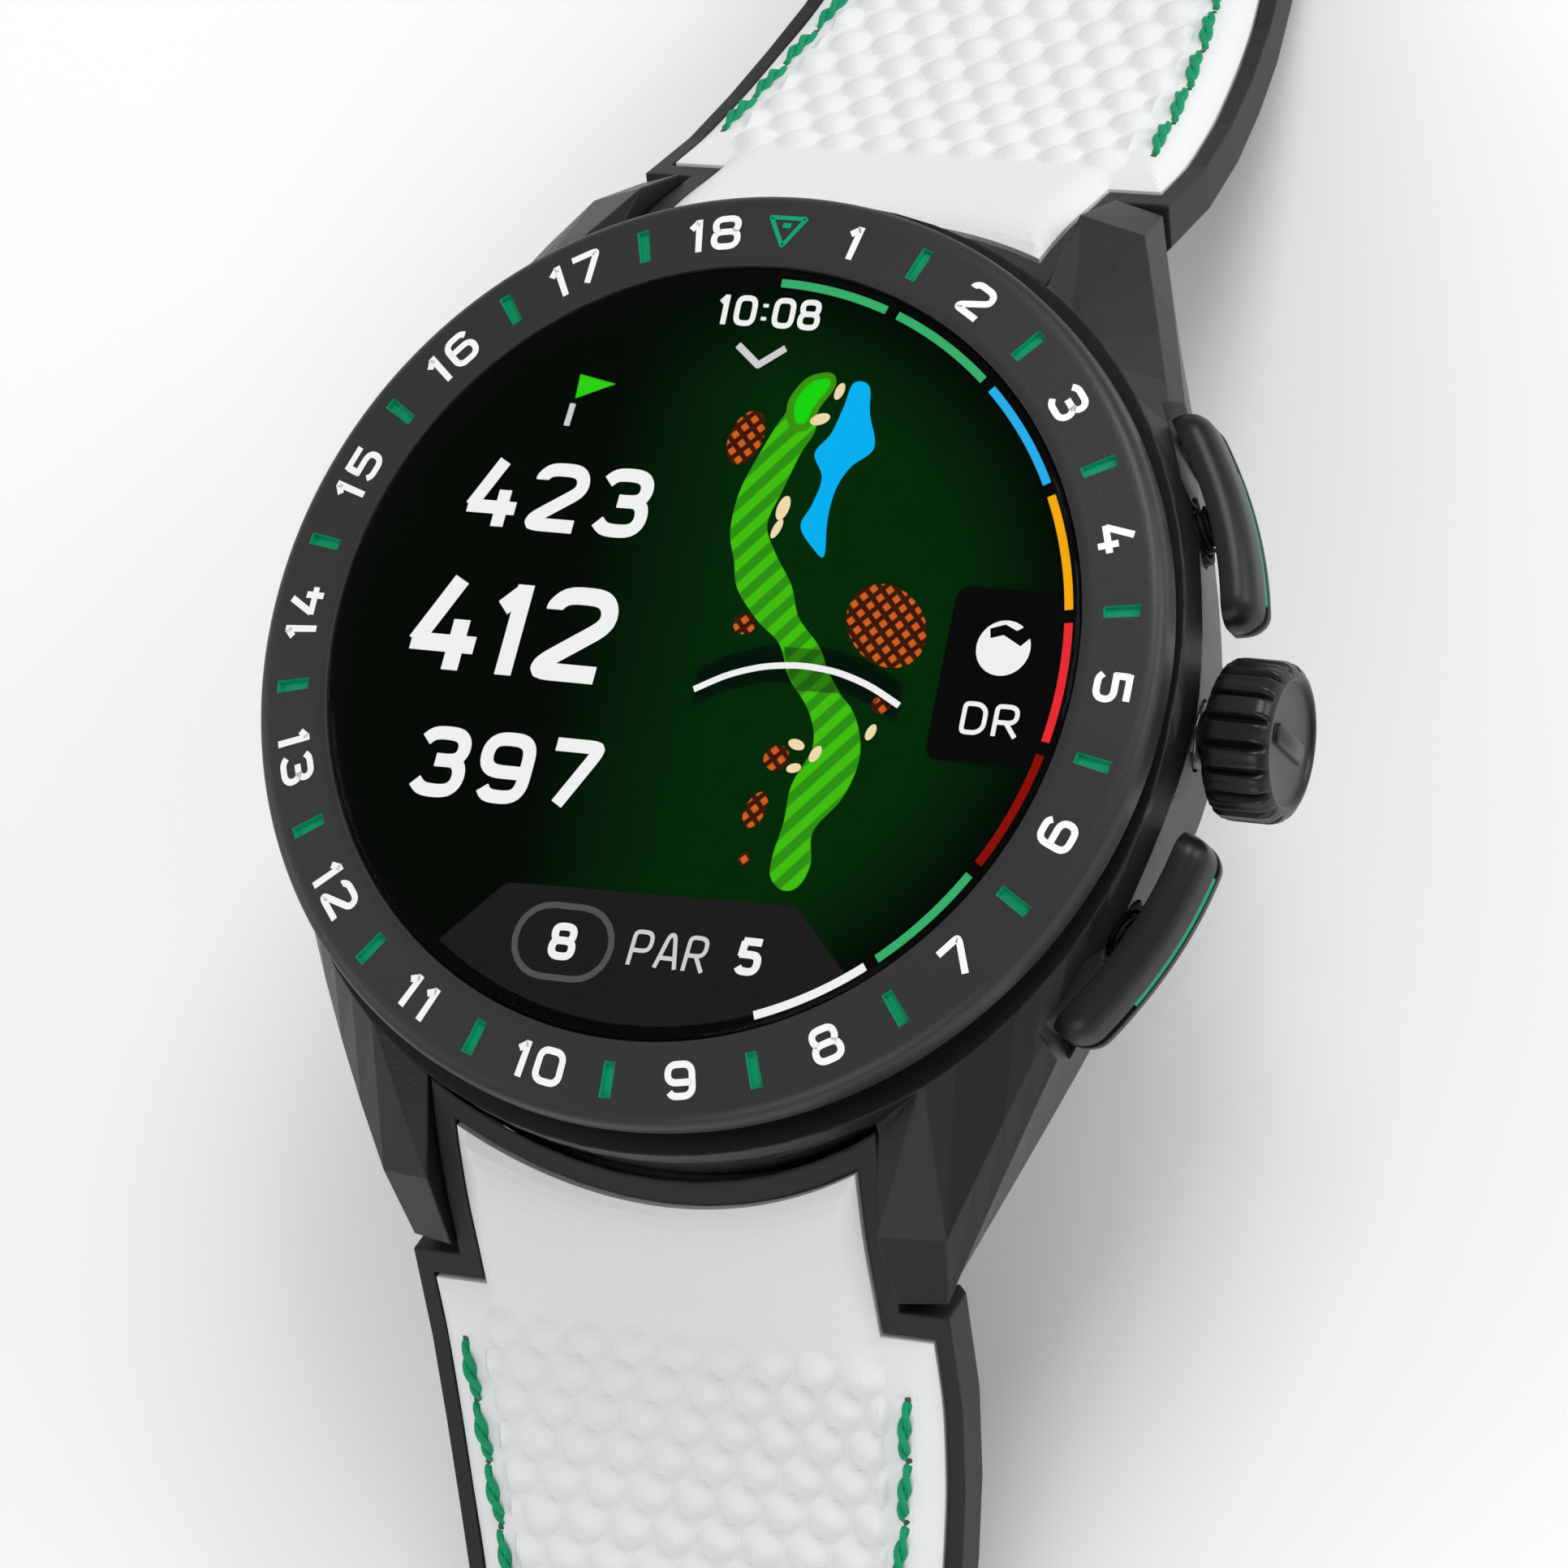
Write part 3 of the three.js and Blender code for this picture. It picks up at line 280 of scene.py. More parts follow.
edge_wear.links.new(multiply(edge_wear, broken, wear_in.outputs["Amount"]), wear_out.inputs["Mask"])

smudges, smudge_in, smudge_out = new_group(
    "smudges", {"Scale": 120.0, "Low": 0.4, "High": 0.5}, {"Mask": "NodeSocketFloat"})
cloud = noise_on_object(smudges, 5.0)
cloud_range = smudges.nodes.new("ShaderNodeMapRange")
smudges.links.new(smudge_in.outputs["Scale"], cloud.inputs["Scale"])
smudges.links.new(cloud.outputs["Fac"], cloud_range.inputs["Value"])
smudges.links.new(smudge_in.outputs["Low"], cloud_range.inputs["To Min"])
smudges.links.new(smudge_in.outputs["High"], cloud_range.inputs["To Max"])
smudges.links.new(cloud_range.outputs["Result"], smudge_out.inputs["Mask"])
print("shader groups:", [g.name for g in bpy.data.node_groups])

# %% [markdown]
# ## Finishes of the hard parts
# Blasted black steel, polished black steel, bare turned steel, moulded plastic and rubber
# differ only in a few numbers: the colour, how rough and how metallic they are, how coarse and
# deep the grain is, and how much of a brighter colour shows on the corners. One maker takes
# those numbers and places the shared groups round a Principled shader, so that each finish is
# a single line.

# %% A maker of hard finishes


def use_group(tree, group, **values):
    """Places a shader group in a material with its own values."""
    node = tree.nodes.new("ShaderNodeGroup")
    node.node_tree = group
    for label, value in values.items():
        node.inputs[label.replace("_", " ")].default_value = value
    return node


def mix_colours(tree, mask, first, second):
    """A colour that runs from first to second with a mask."""
    node = tree.nodes.new("ShaderNodeMix")
    node.data_type = "RGBA"
    node.inputs["A"].default_value = (*first, 1.0)
    node.inputs["B"].default_value = (*second, 1.0)
    tree.links.new(mask, node.inputs["Factor"])
    return node.outputs["Result"]


def hard_finish(name, colour, worn, roughness, metallic, grain=4500.0, depth=0.006, corner=0.12,
                wear=0.5, coat=0.0, shine=0.5):
    """A finish for metal, plastic or rubber. Grain depth and corner radius are in millimetres."""
    material, tree, shader = new_material(name)
    shader.inputs["Metallic"].default_value = metallic
    shader.inputs["Coat Weight"].default_value = coat
    shader.inputs["Specular IOR Level"].default_value = shine
    surface = use_group(tree, fine_grain, Scale=grain, Depth=depth * MM, Corner=corner * MM)
    mask = use_group(tree, edge_wear, Radius=corner * MM, Amount=wear)
    cloudy = use_group(tree, smudges, Scale=140.0, Low=roughness - 0.05, High=roughness + 0.06)
    tree.links.new(mix_colours(tree, mask.outputs["Mask"], colour, worn), shader.inputs["Base Color"])
    tree.links.new(cloudy.outputs["Mask"], shader.inputs["Roughness"])
    tree.links.new(surface.outputs["Normal"], shader.inputs["Normal"])
    material.diffuse_color = (*colour, 1.0)
    return material


finishes = {
    "black_case": hard_finish("black_case", (0.011, 0.011, 0.0115), (0.07, 0.07, 0.072), 0.40, 0.25,
                              grain=5200.0, depth=0.012, corner=0.16, shine=0.3),
    "grey_bezel": hard_finish("grey_bezel", (0.024, 0.024, 0.025), (0.10, 0.10, 0.105), 0.42, 0.30,
                              grain=6000.0, depth=0.010, corner=0.05, shine=0.4),
    "black_steel": hard_finish("black_steel", (0.012, 0.012, 0.0125), (0.08, 0.08, 0.082), 0.36, 0.35,
                               grain=3000.0, depth=0.004, shine=0.35),
    "gloss_crown": hard_finish("gloss_crown", (0.006, 0.006, 0.0065), (0.03, 0.03, 0.031), 0.34, 0.2,
                               grain=900.0, depth=0.002, corner=0.08, coat=0.08, shine=0.35),
    "steel": hard_finish("steel", (0.52, 0.53, 0.55), (0.70, 0.71, 0.73), 0.28, 1.0,
                         grain=2500.0, depth=0.003, corner=0.05),
    "dark_plastic": hard_finish("dark_plastic", (0.03, 0.03, 0.034), (0.07, 0.07, 0.075), 0.5, 0.0),
    "green_plastic": hard_finish("green_plastic", (0.001, 0.27, 0.12), (0.01, 0.40, 0.22), 0.4, 0.0,
                                 corner=0.05, shine=0.2),
    "board": hard_finish("board", (0.01, 0.09, 0.045), (0.05, 0.2, 0.1), 0.4, 0.0, grain=1500.0),
    "silver_can": hard_finish("silver_can", (0.66, 0.67, 0.69), (0.8, 0.8, 0.82), 0.34, 1.0),
    "seal": hard_finish("seal", (0.008, 0.008, 0.008), (0.02, 0.02, 0.02), 0.6, 0.0, corner=0.05,
                        shine=0.2),
    "gold_contact": hard_finish("gold_contact", (0.80, 0.56, 0.22), (0.95, 0.74, 0.36), 0.25, 1.0,
                                corner=0.1),
    "black_rubber": hard_finish("black_rubber", (0.014, 0.014, 0.0145), (0.035, 0.035, 0.036), 0.54, 0.0,
                                grain=3800.0, depth=0.018, corner=0.30, wear=0.3, shine=0.3),
    "display": hard_finish("display", (0.004, 0.006, 0.005), (0.01, 0.01, 0.01), 0.15, 0.0, depth=0.0),
}
print(len(finishes), "hard finishes")

# %% Smoked glass for the sensor window, and every CAD node's finish
smoked, smoked_tree, smoked_shader = new_material("smoked_glass")
smoked_shader.inputs["Coat Weight"].default_value = 1.0
smoked_shader.inputs["Coat Roughness"].default_value = 0.03
smoked_rings = smoked_tree.nodes.new("ShaderNodeTexWave")
smoked_rings.wave_type = "RINGS"
smoked_rings.rings_direction = "Z"
smoked_rings.inputs["Scale"].default_value = 55.0
smoked_coords = smoked_tree.nodes.new("ShaderNodeTexCoord")
smoked_tree.links.new(smoked_coords.outputs["Object"], smoked_rings.inputs["Vector"])
ring_shade = map_range(smoked_tree, smoked_rings.outputs["Fac"], 0.86, 0.98)
smoked_tree.links.new(
    mix_colours(smoked_tree, ring_shade, (0.006, 0.006, 0.008), (0.03, 0.035, 0.04)),
    smoked_shader.inputs["Base Color"])
smoked_tree.links.new(
    use_group(smoked_tree, smudges, Scale=150.0, Low=0.08, High=0.2).outputs["Mask"],
    smoked_shader.inputs["Roughness"])
finishes["glass"] = smoked

for subpart in frame["record"]["subparts"]:
    node = frame["nodes"][subpart["node"]]
    node.data.materials.clear()
    node.data.materials.append(finishes.get(subpart["material_slot"], finishes["dark_plastic"]))
print(len(frame["nodes"]), "CAD nodes have their finish")

# %% [markdown]
# ## The floor
# A single pale sheet lies just under the strap's lowest point, and is large enough to fill
# every view.

# %% Floor
floor_material, _, floor_shader = new_material("pale_floor")
floor_shader.inputs["Base Color"].default_value = (0.90, 0.905, 0.91, 1.0)
floor_shader.inputs["Roughness"].default_value = 0.7
lowest = cad_bounds[0][2] / MM
HALF_FLOOR, FLOOR_GAP = 2500.0, 0.01
floor_corners = [(x * HALF_FLOOR, y * HALF_FLOOR, lowest - FLOOR_GAP)
                 for x, y in ((-1, -1), (1, -1), (1, 1), (-1, 1))]
floor = make_piece("floor", floor_corners, [(0, 1, 2, 3)], [floor_material], smooth=0)
print("floor at", round(lowest, 2), "mm")

# %% [markdown]
# ## The bezel
# The bezel is one turned ring with seventeen short recesses and a small marker at 12 o'clock,
# filled with green. It could be cut with booleans, but a grid of points is cleaner: the ring's
# section is swept round, with extra points at the walls of every recess, and the points inside
# a recess are simply lowered. The faces that they belong to take the green finish.

# %% Ring with recessed marks
HEAD = 13.2          # height of the bezel's inner edge
GLASS_R = 18.4
RIM_R = 22.2
SLOPE = 0.45 / (RIM_R - GLASS_R)
MARK_IN, MARK_OUT, MARK_HALF, MARK_DEPTH, MARK_WALL = 19.45, 21.1, 0.275, 0.28, 0.07
MARK_COUNT, MARK_STEP, RING_STEP = 17, 20.0, 1.25    # the steps are in degrees
WALL_FOOT, FACE_FOOT = 11.9, 12.5    # the sloping face lies wholly above FACE_FOOT
HAIR = 1e-6


def face_height(r):
    """Height of the bezel's sloping face at a radius."""
    return HEAD - SLOPE * (r - GLASS_R)


rim_top = face_height(RIM_R)
outer_section = [
    (GLASS_R + 0.03, WALL_FOOT), (GLASS_R + 0.03, HEAD - 0.12), (GLASS_R + 0.07, HEAD - 0.04),
    (GLASS_R + 0.16, face_height(GLASS_R + 0.16))]
inner_rows = len(outer_section)
face_radii = [19.0, MARK_IN, MARK_IN + MARK_WALL, 19.9, 20.3, 20.7, MARK_OUT - MARK_WALL, MARK_OUT, 21.4]
section = outer_section + [(r, face_height(r)) for r in face_radii] + [
    (21.62, face_height(21.62)), (21.78, rim_top + 0.02), (21.94, rim_top - 0.07), (22.08, rim_top - 0.2),
    (22.16, rim_top - 0.38), (22.2, rim_top - 0.6), (22.2, 11.3), (22.15, 11.05), (22.0, 10.88),
    (21.3, 10.72), (21.3, 10.0), (20.05, 10.0), (20.05, 9.3), (19.25, 9.3), (19.25, 11.75),
    (17.7, 11.75), (17.7, 11.86)]
hole_angles = [math.radians(MARK_STEP * (i + 1)) for i in range(MARK_COUNT)]
mid_mark = (MARK_IN + MARK_OUT) / 2
half_turn = MARK_HALF / mid_mark
wall_turn = (MARK_HALF - MARK_WALL) / mid_mark
angles = set()
for a in hole_angles:
    angles.update([a - half_turn, a - wall_turn, a + wall_turn, a + half_turn])
angles.update(math.radians(v) for v in np.arange(0.0, 360.0, RING_STEP)
              if min(abs(math.radians(v) - a) for a in hole_angles) > half_turn * 1.3)
angles = sorted(angles)


def on_dial(r, angle, z):
    """A point at a clockwise angle from 12 o'clock."""
    return (r * math.sin(angle), r * math.cos(angle), z)


def in_mark(r, angle):
    """True on the floor of a recess."""
    deep_r = MARK_IN + MARK_WALL - HAIR <= r <= MARK_OUT - MARK_WALL + HAIR
    return deep_r and min(abs(angle - a) for a in hole_angles) <= wall_turn + HAIR


def near_mark(r, angle):
    """True on a recess's floor or walls."""
    wide_r = MARK_IN - HAIR <= r <= MARK_OUT + HAIR
    return wide_r and min(abs(angle - a) for a in hole_angles) <= half_turn + HAIR


bezel_points = []
for a in angles:
    for r, z in section:
        on_face = z > WALL_FOOT and inner_rows <= section.index((r, z)) < inner_rows + len(face_radii)
        bezel_points.append(on_dial(r, a, z - MARK_DEPTH * (on_face and in_mark(r, a))))
bezel_faces = tie_grid(len(angles), len(section), close_columns=True, close_rows=True)
green = hard_finish("green_fill", (0.001, 0.30, 0.13), (0.01, 0.50, 0.28), 0.42, 0.0, grain=5000.0,
                    depth=0.006, corner=0.03, wear=0.8, shine=0.15)
face_slots = []
for f in bezel_faces:
    spots = [(section[i % len(section)], angles[i // len(section)]) for i in f]
    face_slots.append(int(all(near_mark(s[0], a) and s[1] > FACE_FOOT for s, a in spots)))
bezel_ring = make_piece("bezel_ring", bezel_points, bezel_faces, [finishes["grey_bezel"], green],
                        face_slots, smooth=28.0)
face_outwards(bezel_ring)
keep(bezel_ring, "case", "grey_bezel", "bezel")

# %% [markdown]
# ## Numbers
# The bezel's numbers and those on the screen share one set of strokes. Each digit is one or
# more lines on a unit square, as a sign painter would plan it. `stroke` rounds the corners of
# such a line and gives it a width, with its joints mitred, and the result is a flat strip of
# faces. A font file would be quicker, but these strokes keep the wide, squared look.

# %% Strokes of the digits and letters
GLYPHS = {
    "0": [[(0.2, 0), (0.8, 0), (1, 0.16), (1, 0.84), (0.8, 1), (0.2, 1), (0, 0.84), (0, 0.16),
           "closed"]],
    "1": [[(0.0, 0.76), (0.62, 1.0)], [(0.62, 1.08), (0.62, -0.1)]],
    "2": [[(0.0, 0.8), (0.0, 0.86), (0.18, 1), (0.82, 1), (1, 0.86), (1, 0.64), (0.0, 0.1), (0.0, 0),
           (1.02, 0)]],
    "3": [[(0.02, 0.86), (0.2, 1), (0.8, 1), (0.98, 0.86), (0.98, 0.66), (0.82, 0.53), (0.36, 0.53)],
          [(0.7, 0.53), (0.84, 0.53), (1, 0.4), (1, 0.15), (0.8, 0), (0.2, 0), (0, 0.15)]],
    "4": [[(0.56, 1.08), (0.02, 0.24)], [(-0.06, 0.24), (1.1, 0.24)], [(0.76, 0.56), (0.76, -0.1)]],
    "5": [[(0.98, 1), (-0.04, 1)], [(0.06, 1.0), (0.04, 0.5)],
          [(-0.06, 0.57), (0.8, 0.57), (1, 0.43), (1, 0.15), (0.8, 0), (0.18, 0), (0, 0.14)]],
    "6": [[(0.92, 0.86), (0.78, 1), (0.2, 1), (0, 0.84), (0, 0.16), (0.2, 0), (0.8, 0), (1, 0.15),
           (1, 0.43), (0.8, 0.57), (0.02, 0.57)]],
    "7": [[(0.0, 1), (1, 1), (1, 0.9), (0.36, -0.02)]],
    "8": [[(0.2, 0), (0.8, 0), (1, 0.14), (1, 0.4), (0.82, 0.53), (0.18, 0.53), (0, 0.4), (0, 0.14),
           "closed"],
          [(0.18, 0.53), (0.04, 0.66), (0.04, 0.88), (0.22, 1), (0.78, 1), (0.96, 0.88), (0.96, 0.66),
           (0.82, 0.53)]],
    ":": [[(0.5, 0.68), (0.5, 0.82)], [(0.5, 0.16), (0.5, 0.3)]],
    "P": [[(0, -0.05), (0, 1), (0.78, 1), (0.98, 0.86), (0.98, 0.56), (0.78, 0.42), (0, 0.42)]],
    "A": [[(-0.05, -0.05), (0.36, 1), (0.64, 1), (1.05, -0.05)], [(0.12, 0.27), (0.88, 0.27)]],
    "R": [[(0, -0.05), (0, 1), (0.76, 1), (0.96, 0.86), (0.96, 0.58), (0.76, 0.44), (0, 0.44)],
          [(0.5, 0.44), (1.02, -0.05)]],
    "D": [[(0, 0), (0, 1), (0.7, 1), (1, 0.8), (1, 0.2), (0.7, 0), "closed"]],
}
GLYPHS["9"] = [[(1 - x, 1 - y) for x, y in GLYPHS["6"][0]]]


def rounded_line(points, radius, closed):
    """Replaces each corner of a line with a short curve."""
    count = len(points)
    out = []
    for i, p in enumerate(points):
        if not closed and i in (0, count - 1):
            out.append(p)
            continue
        before, after = np.array(points[i - 1]), np.array(points[(i + 1) % count])
        p = np.array(p)
        reach_in = min(radius, 0.48 * np.linalg.norm(p - before))
        reach_out = min(radius, 0.48 * np.linalg.norm(after - p))
        first = p + (before - p) / max(np.linalg.norm(before - p), 1e-9) * reach_in
        last = p + (after - p) / max(np.linalg.norm(after - p), 1e-9) * reach_out
        for t in (0.0, 0.33, 0.67, 1.0):
            out.append(tuple((1 - t) ** 2 * first + 2 * t * (1 - t) * p + t * t * last))
    return out


def stroke(points, width, radius):
    """A flat strip of the given width along a line: its points and faces, in two dimensions."""
    closed = points[-1] == "closed"
    line = rounded_line(points[:-1] if closed else points, radius, closed)
    line = [np.array(p, float) for p in line]
    kept = [line[0]]
    for p in line[1:]:
        if np.linalg.norm(p - kept[-1]) > 1e-4:
            kept.append(p)
    count = len(kept)
    sides = []
    for i, p in enumerate(kept):
        before = kept[i - 1] if i or closed else None
        after = kept[(i + 1) % count] if i < count - 1 or closed else None
        run_in = (p - before) if before is not None else (after - p)
        run_out = (after - p) if after is not None else run_in
        n1 = np.array([-run_in[1], run_in[0]]) / np.linalg.norm(run_in)
        n2 = np.array([-run_out[1], run_out[0]]) / np.linalg.norm(run_out)
        mitre = n1 + n2
        length = max(np.linalg.norm(mitre), 0.4)
        mitre = mitre / np.linalg.norm(mitre) * min(2.0 / length, 1.8) * width / 2
        sides += [p - mitre, p + mitre]
    faces = [(2 * i, 2 * ((i + 1) % count), 2 * ((i + 1) % count) + 1, 2 * i + 1)
             for i in range(count if closed else count - 1)]
    return sides, faces


def lettering(text, height, width, gap, weight, slant=0.0, corner=0.14):
    """Strips for a word, centred on its middle: a list of points and faces."""
    points, faces = [], []
    widths = {"1": 0.62, ":": 0.42}
    spans = [width * widths.get(c, 1.0) for c in text]
    total = sum(spans) + gap * (len(text) - 1)
    left = -total / 2
    ink_h, trim = height - weight, weight / 2
    for c, span in zip(text, spans):
        ink_w = span - weight
        for line in GLYPHS[c]:
            scaled = [p if p == "closed" else (left + trim + p[0] * ink_w, trim - height / 2 + p[1] * ink_h)
                      for p in line]
            strip, strip_faces = stroke(scaled, weight, corner * height)
            faces += [tuple(i + len(points) for i in f) for f in strip_faces]
            points += [(x + slant * y, y) for x, y in strip]
        left += span + gap
    return points, faces


print("strokes for", "".join(sorted(GLYPHS)))

# %% [markdown]
# The numbers 14 to 18 and 1 to 5 stand with their heads outwards and 6 to 13 with their heads
# inwards, so that each reads upright from where the wearer looks. The paint is a thin layer
# just proud of the ring, bent to follow its curve.

# %% Numbers on the bezel
NUMBER_R, NUMBER_H, PAINT = 20.22, 1.75, 0.012
HEADS_IN = range(6, 14)
white_paint = hard_finish("white_paint", (0.82, 0.83, 0.82), (0.9, 0.9, 0.9), 0.5, 0.0, depth=0.003,
                          corner=0.02, wear=0.1)
number_points, number_faces = [], []
for number in range(1, 19):
    centre = math.radians(MARK_STEP * (number - 0.5))
    heads_out = number not in HEADS_IN
    strip, strip_faces = lettering(str(number), NUMBER_H, width=1.5, gap=0.22, weight=0.32, corner=0.11)
    number_faces += [tuple(i + len(number_points) for i in f) for f in strip_faces]
    for x, y in strip:
        r = NUMBER_R + (y if heads_out else -y)
        angle = centre + (x if heads_out else -x) / NUMBER_R
        number_points.append(on_dial(r, angle, face_height(r) + PAINT))
numbers = make_piece("bezel_numbers", number_points, number_faces, [white_paint], smooth=0)
keep(numbers, "case", "grey_bezel")

# %% Marker at 12 o'clock
MARKER_R = 20.25
marker_points, marker_faces = [], []
for line, weight in (([(-0.85, 0.7), (0.85, 0.7), (0.0, -0.75), "closed"], 0.22),
                     ([(-0.2, 0.3), (0.2, 0.3)], 0.26)):
    strip, strip_faces = stroke(line, weight, 0.06)
    marker_faces += [tuple(i + len(marker_points) for i in f) for f in strip_faces]
    marker_points += [on_dial(MARKER_R + y, x / MARKER_R, face_height(MARKER_R + y) + PAINT)
                      for x, y in strip]
marker = make_piece("bezel_marker", marker_points, marker_faces, [green], smooth=0)
keep(marker, "case", "grey_bezel")

# %% [markdown]
# ## The glass
# The crystal is a flat disc with a polished chamfer. It is turned from its section, like the
# bezel. Watch glass has a coating that stops most reflections; here that is a low refractive
# index, so the picture under it stays black where it is black.

# %% Crystal
GLASS_TOP, GLASS_UNDER, GLASS_EDGE, GLASS_STEPS = 13.3, 12.96, 18.38, 180
glass_section = [(17.0, GLASS_TOP), (17.9, 13.28), (18.22, 13.2), (GLASS_EDGE, 13.05),
                 (GLASS_EDGE, 12.98), (GLASS_EDGE, GLASS_UNDER)]
glass_points = []
for r, z in glass_section:
    glass_points += [on_dial(r, 2 * math.pi * k / GLASS_STEPS, z) for k in range(GLASS_STEPS)]
glass_faces = tie_grid(len(glass_section), GLASS_STEPS, close_columns=True)
glass_points += [(0.0, 0.0, GLASS_TOP), (0.0, 0.0, GLASS_UNDER)]
top_centre, under_centre = len(glass_points) - 2, len(glass_points) - 1
last_row = (len(glass_section) - 1) * GLASS_STEPS
for k in range(GLASS_STEPS):
    following = (k + 1) % GLASS_STEPS
    glass_faces.append((top_centre, following, k))
    glass_faces.append((under_centre, last_row + k, last_row + following))
clear, clear_tree, clear_shader = new_material("coated_crystal")
clear_shader.inputs["Transmission Weight"].default_value = 1.0
clear_shader.inputs["IOR"].default_value = 1.12
clear_tree.links.new(use_group(clear_tree, smudges, Scale=60.0, Low=0.0, High=0.012).outputs["Mask"],
                     clear_shader.inputs["Roughness"])
crystal_glass = make_piece("crystal_glass", glass_points, glass_faces, [clear], smooth=20.0)
face_outwards(crystal_glass)
keep(crystal_glass, "case", "glass", "crystal")

# %% [markdown]
# ## The lit screen
# The picture is a set of thin flat shapes under the glass, each with a finish that gives off
# its own light: the course map, the distances, the ring of coloured bars and the panels. Flat
# shapes stay sharp at any distance. `screen_cells` is a shader group that darkens the gaps
# between the screen's tiny cells, and every lit finish passes its colour through it.

# %% Lit finishes
screen_cells, cells_in, cells_out = new_group(
    "screen_cells", {"Pitch": 9000.0, "Gap Shade": 0.9}, {"Mask": "NodeSocketFloat"})
cell_noise = noise_on_object(screen_cells, 0.0)
cell_range = screen_cells.nodes.new("ShaderNodeMapRange")
screen_cells.links.new(cells_in.outputs["Pitch"], cell_noise.inputs["Scale"])
screen_cells.links.new(cell_noise.outputs["Fac"], cell_range.inputs["Value"])
screen_cells.links.new(cells_in.outputs["Gap Shade"], cell_range.inputs["To Min"])
screen_cells.links.new(cell_range.outputs["Result"], cells_out.inputs["Mask"])
GLOW = 1.2


def linear(*levels):
    """A screen colour from its red, green and blue levels, each 0 to 255."""
    return tuple((v / 255 / 12.92 if v <= 10 else ((v / 255 + 0.055) / 1.055) ** 2.4) for v in levels)


def lit_finish(name, colour, second=None, mask=None):
    """A finish that gives off light. mask(tree) may return a socket that mixes in a second colour."""
    material, tree, shader = new_material(name)
    shader.inputs["Base Color"].default_value = (0.0, 0.0, 0.0, 1.0)
    shader.inputs["Roughness"].default_value = 0.5
    shader.inputs["Specular IOR Level"].default_value = 0.0
    shader.inputs["Emission Strength"].default_value = GLOW
    tint = mix_colours(tree, mask(tree), colour, second) if mask else None
    cells = use_group(tree, screen_cells)
    shade = tree.nodes.new("ShaderNodeMix")
    shade.data_type = "RGBA"
    shade.inputs["A"].default_value = (0.0, 0.0, 0.0, 1.0)
    shade.inputs["B"].default_value = (*colour, 1.0)
    if tint:
        tree.links.new(tint, shade.inputs["B"])
    tree.links.new(cells.outputs["Mask"], shade.inputs["Factor"])
    tree.links.new(shade.outputs["Result"], shader.inputs["Emission Color"])
    return material


def glow_to_right(tree):
    """Dark at the left and at the rim, lit at the right: the backdrop of the map."""
    coords = tree.nodes.new("ShaderNodeTexCoord")
    axes = tree.nodes.new("ShaderNodeSeparateXYZ")
    tree.links.new(coords.outputs["Object"], axes.inputs["Vector"])
    across = map_range(tree, axes.outputs["X"], -0.0065, 0.0015)
    flat_place = tree.nodes.new("ShaderNodeVectorMath")
    flat_place.operation = "MULTIPLY"
    flat_place.inputs[1].default_value = (1.0, 1.0, 0.0)
    tree.links.new(coords.outputs["Object"], flat_place.inputs[0])
    reach = tree.nodes.new("ShaderNodeVectorMath")
    reach.operation = "LENGTH"
    tree.links.new(flat_place.outputs["Vector"], reach.inputs[0])
    rim = map_range(tree, reach.outputs["Value"], 0.0176, 0.0125)
    return multiply(tree, across, rim)


def stripes(scale, turn_degrees, low=0.45, high=0.55):
    """A mask of slanting bands, such as a mown fairway has."""
    def build(tree):
        coords = tree.nodes.new("ShaderNodeTexCoord")
        place = tree.nodes.new("ShaderNodeMapping")
        place.inputs["Rotation"].default_value = (0.0, 0.0, math.radians(turn_degrees))
        bands = tree.nodes.new("ShaderNodeTexWave")
        bands.inputs["Scale"].default_value = scale
        tree.links.new(coords.outputs["Object"], place.inputs["Vector"])
        tree.links.new(place.outputs["Vector"], bands.inputs["Vector"])
        return map_range(tree, bands.outputs["Fac"], low, high)
    return build


def hatching(tree):
    """Fine crossed lines."""
    first, second = (stripes(560.0, lean, 0.3, 0.5)(tree) for lean in (45.0, -45.0))
    return multiply(tree, first, second)


mown = stripes(340.0, 40.0)
lit = {
    "backdrop": lit_finish("lit_backdrop", (0.0, 0.0006, 0.0), linear(0, 40, 2), glow_to_right),
    "white": lit_finish("lit_white", linear(250, 250, 250)),
    "soft_white": lit_finish("lit_soft_white", linear(214, 214, 214)),
    "grey": lit_finish("lit_grey", linear(84, 84, 86)),
    "panel": lit_finish("lit_panel", linear(28, 28, 28)),
    "black": lit_finish("lit_black", linear(3, 3, 3)),
    "green": lit_finish("lit_green", linear(58, 180, 110)),
    "blue": lit_finish("lit_blue", linear(40, 180, 245)),
    "amber": lit_finish("lit_amber", linear(255, 178, 8)),
    "red": lit_finish("lit_red", linear(240, 44, 52)),
    "dark_red": lit_finish("lit_dark_red", linear(140, 12, 2)),
    "flag": lit_finish("lit_flag", linear(46, 214, 16)),
    "fairway": lit_finish("lit_fairway", linear(66, 196, 10), linear(46, 150, 16), mown),
    "putting": lit_finish("lit_putting", linear(22, 220, 10)),
    "fringe": lit_finish("lit_fringe", linear(60, 150, 12)),
    "water": lit_finish("lit_water", linear(2, 184, 250)),
    "sand": lit_finish("lit_sand", linear(248, 226, 178)),
    "trees": lit_finish("lit_trees", linear(60, 22, 4), linear(214, 98, 30), hatching),
    "dim_fairway": lit_finish("lit_dim_fairway", linear(44, 130, 10), linear(32, 100, 12), mown),
    "band": lit_finish("lit_band", linear(0, 14, 2)),
}
print(len(lit), "lit finishes")

# %% [markdown]
# Each shape is a smooth closed outline through a few points, a strip along a line, or a piece
# of a ring. They are gathered in one list with their finish and their layer, so that a shape
# lies a hundredth of a millimetre over the one that it covers, and all become one mesh.

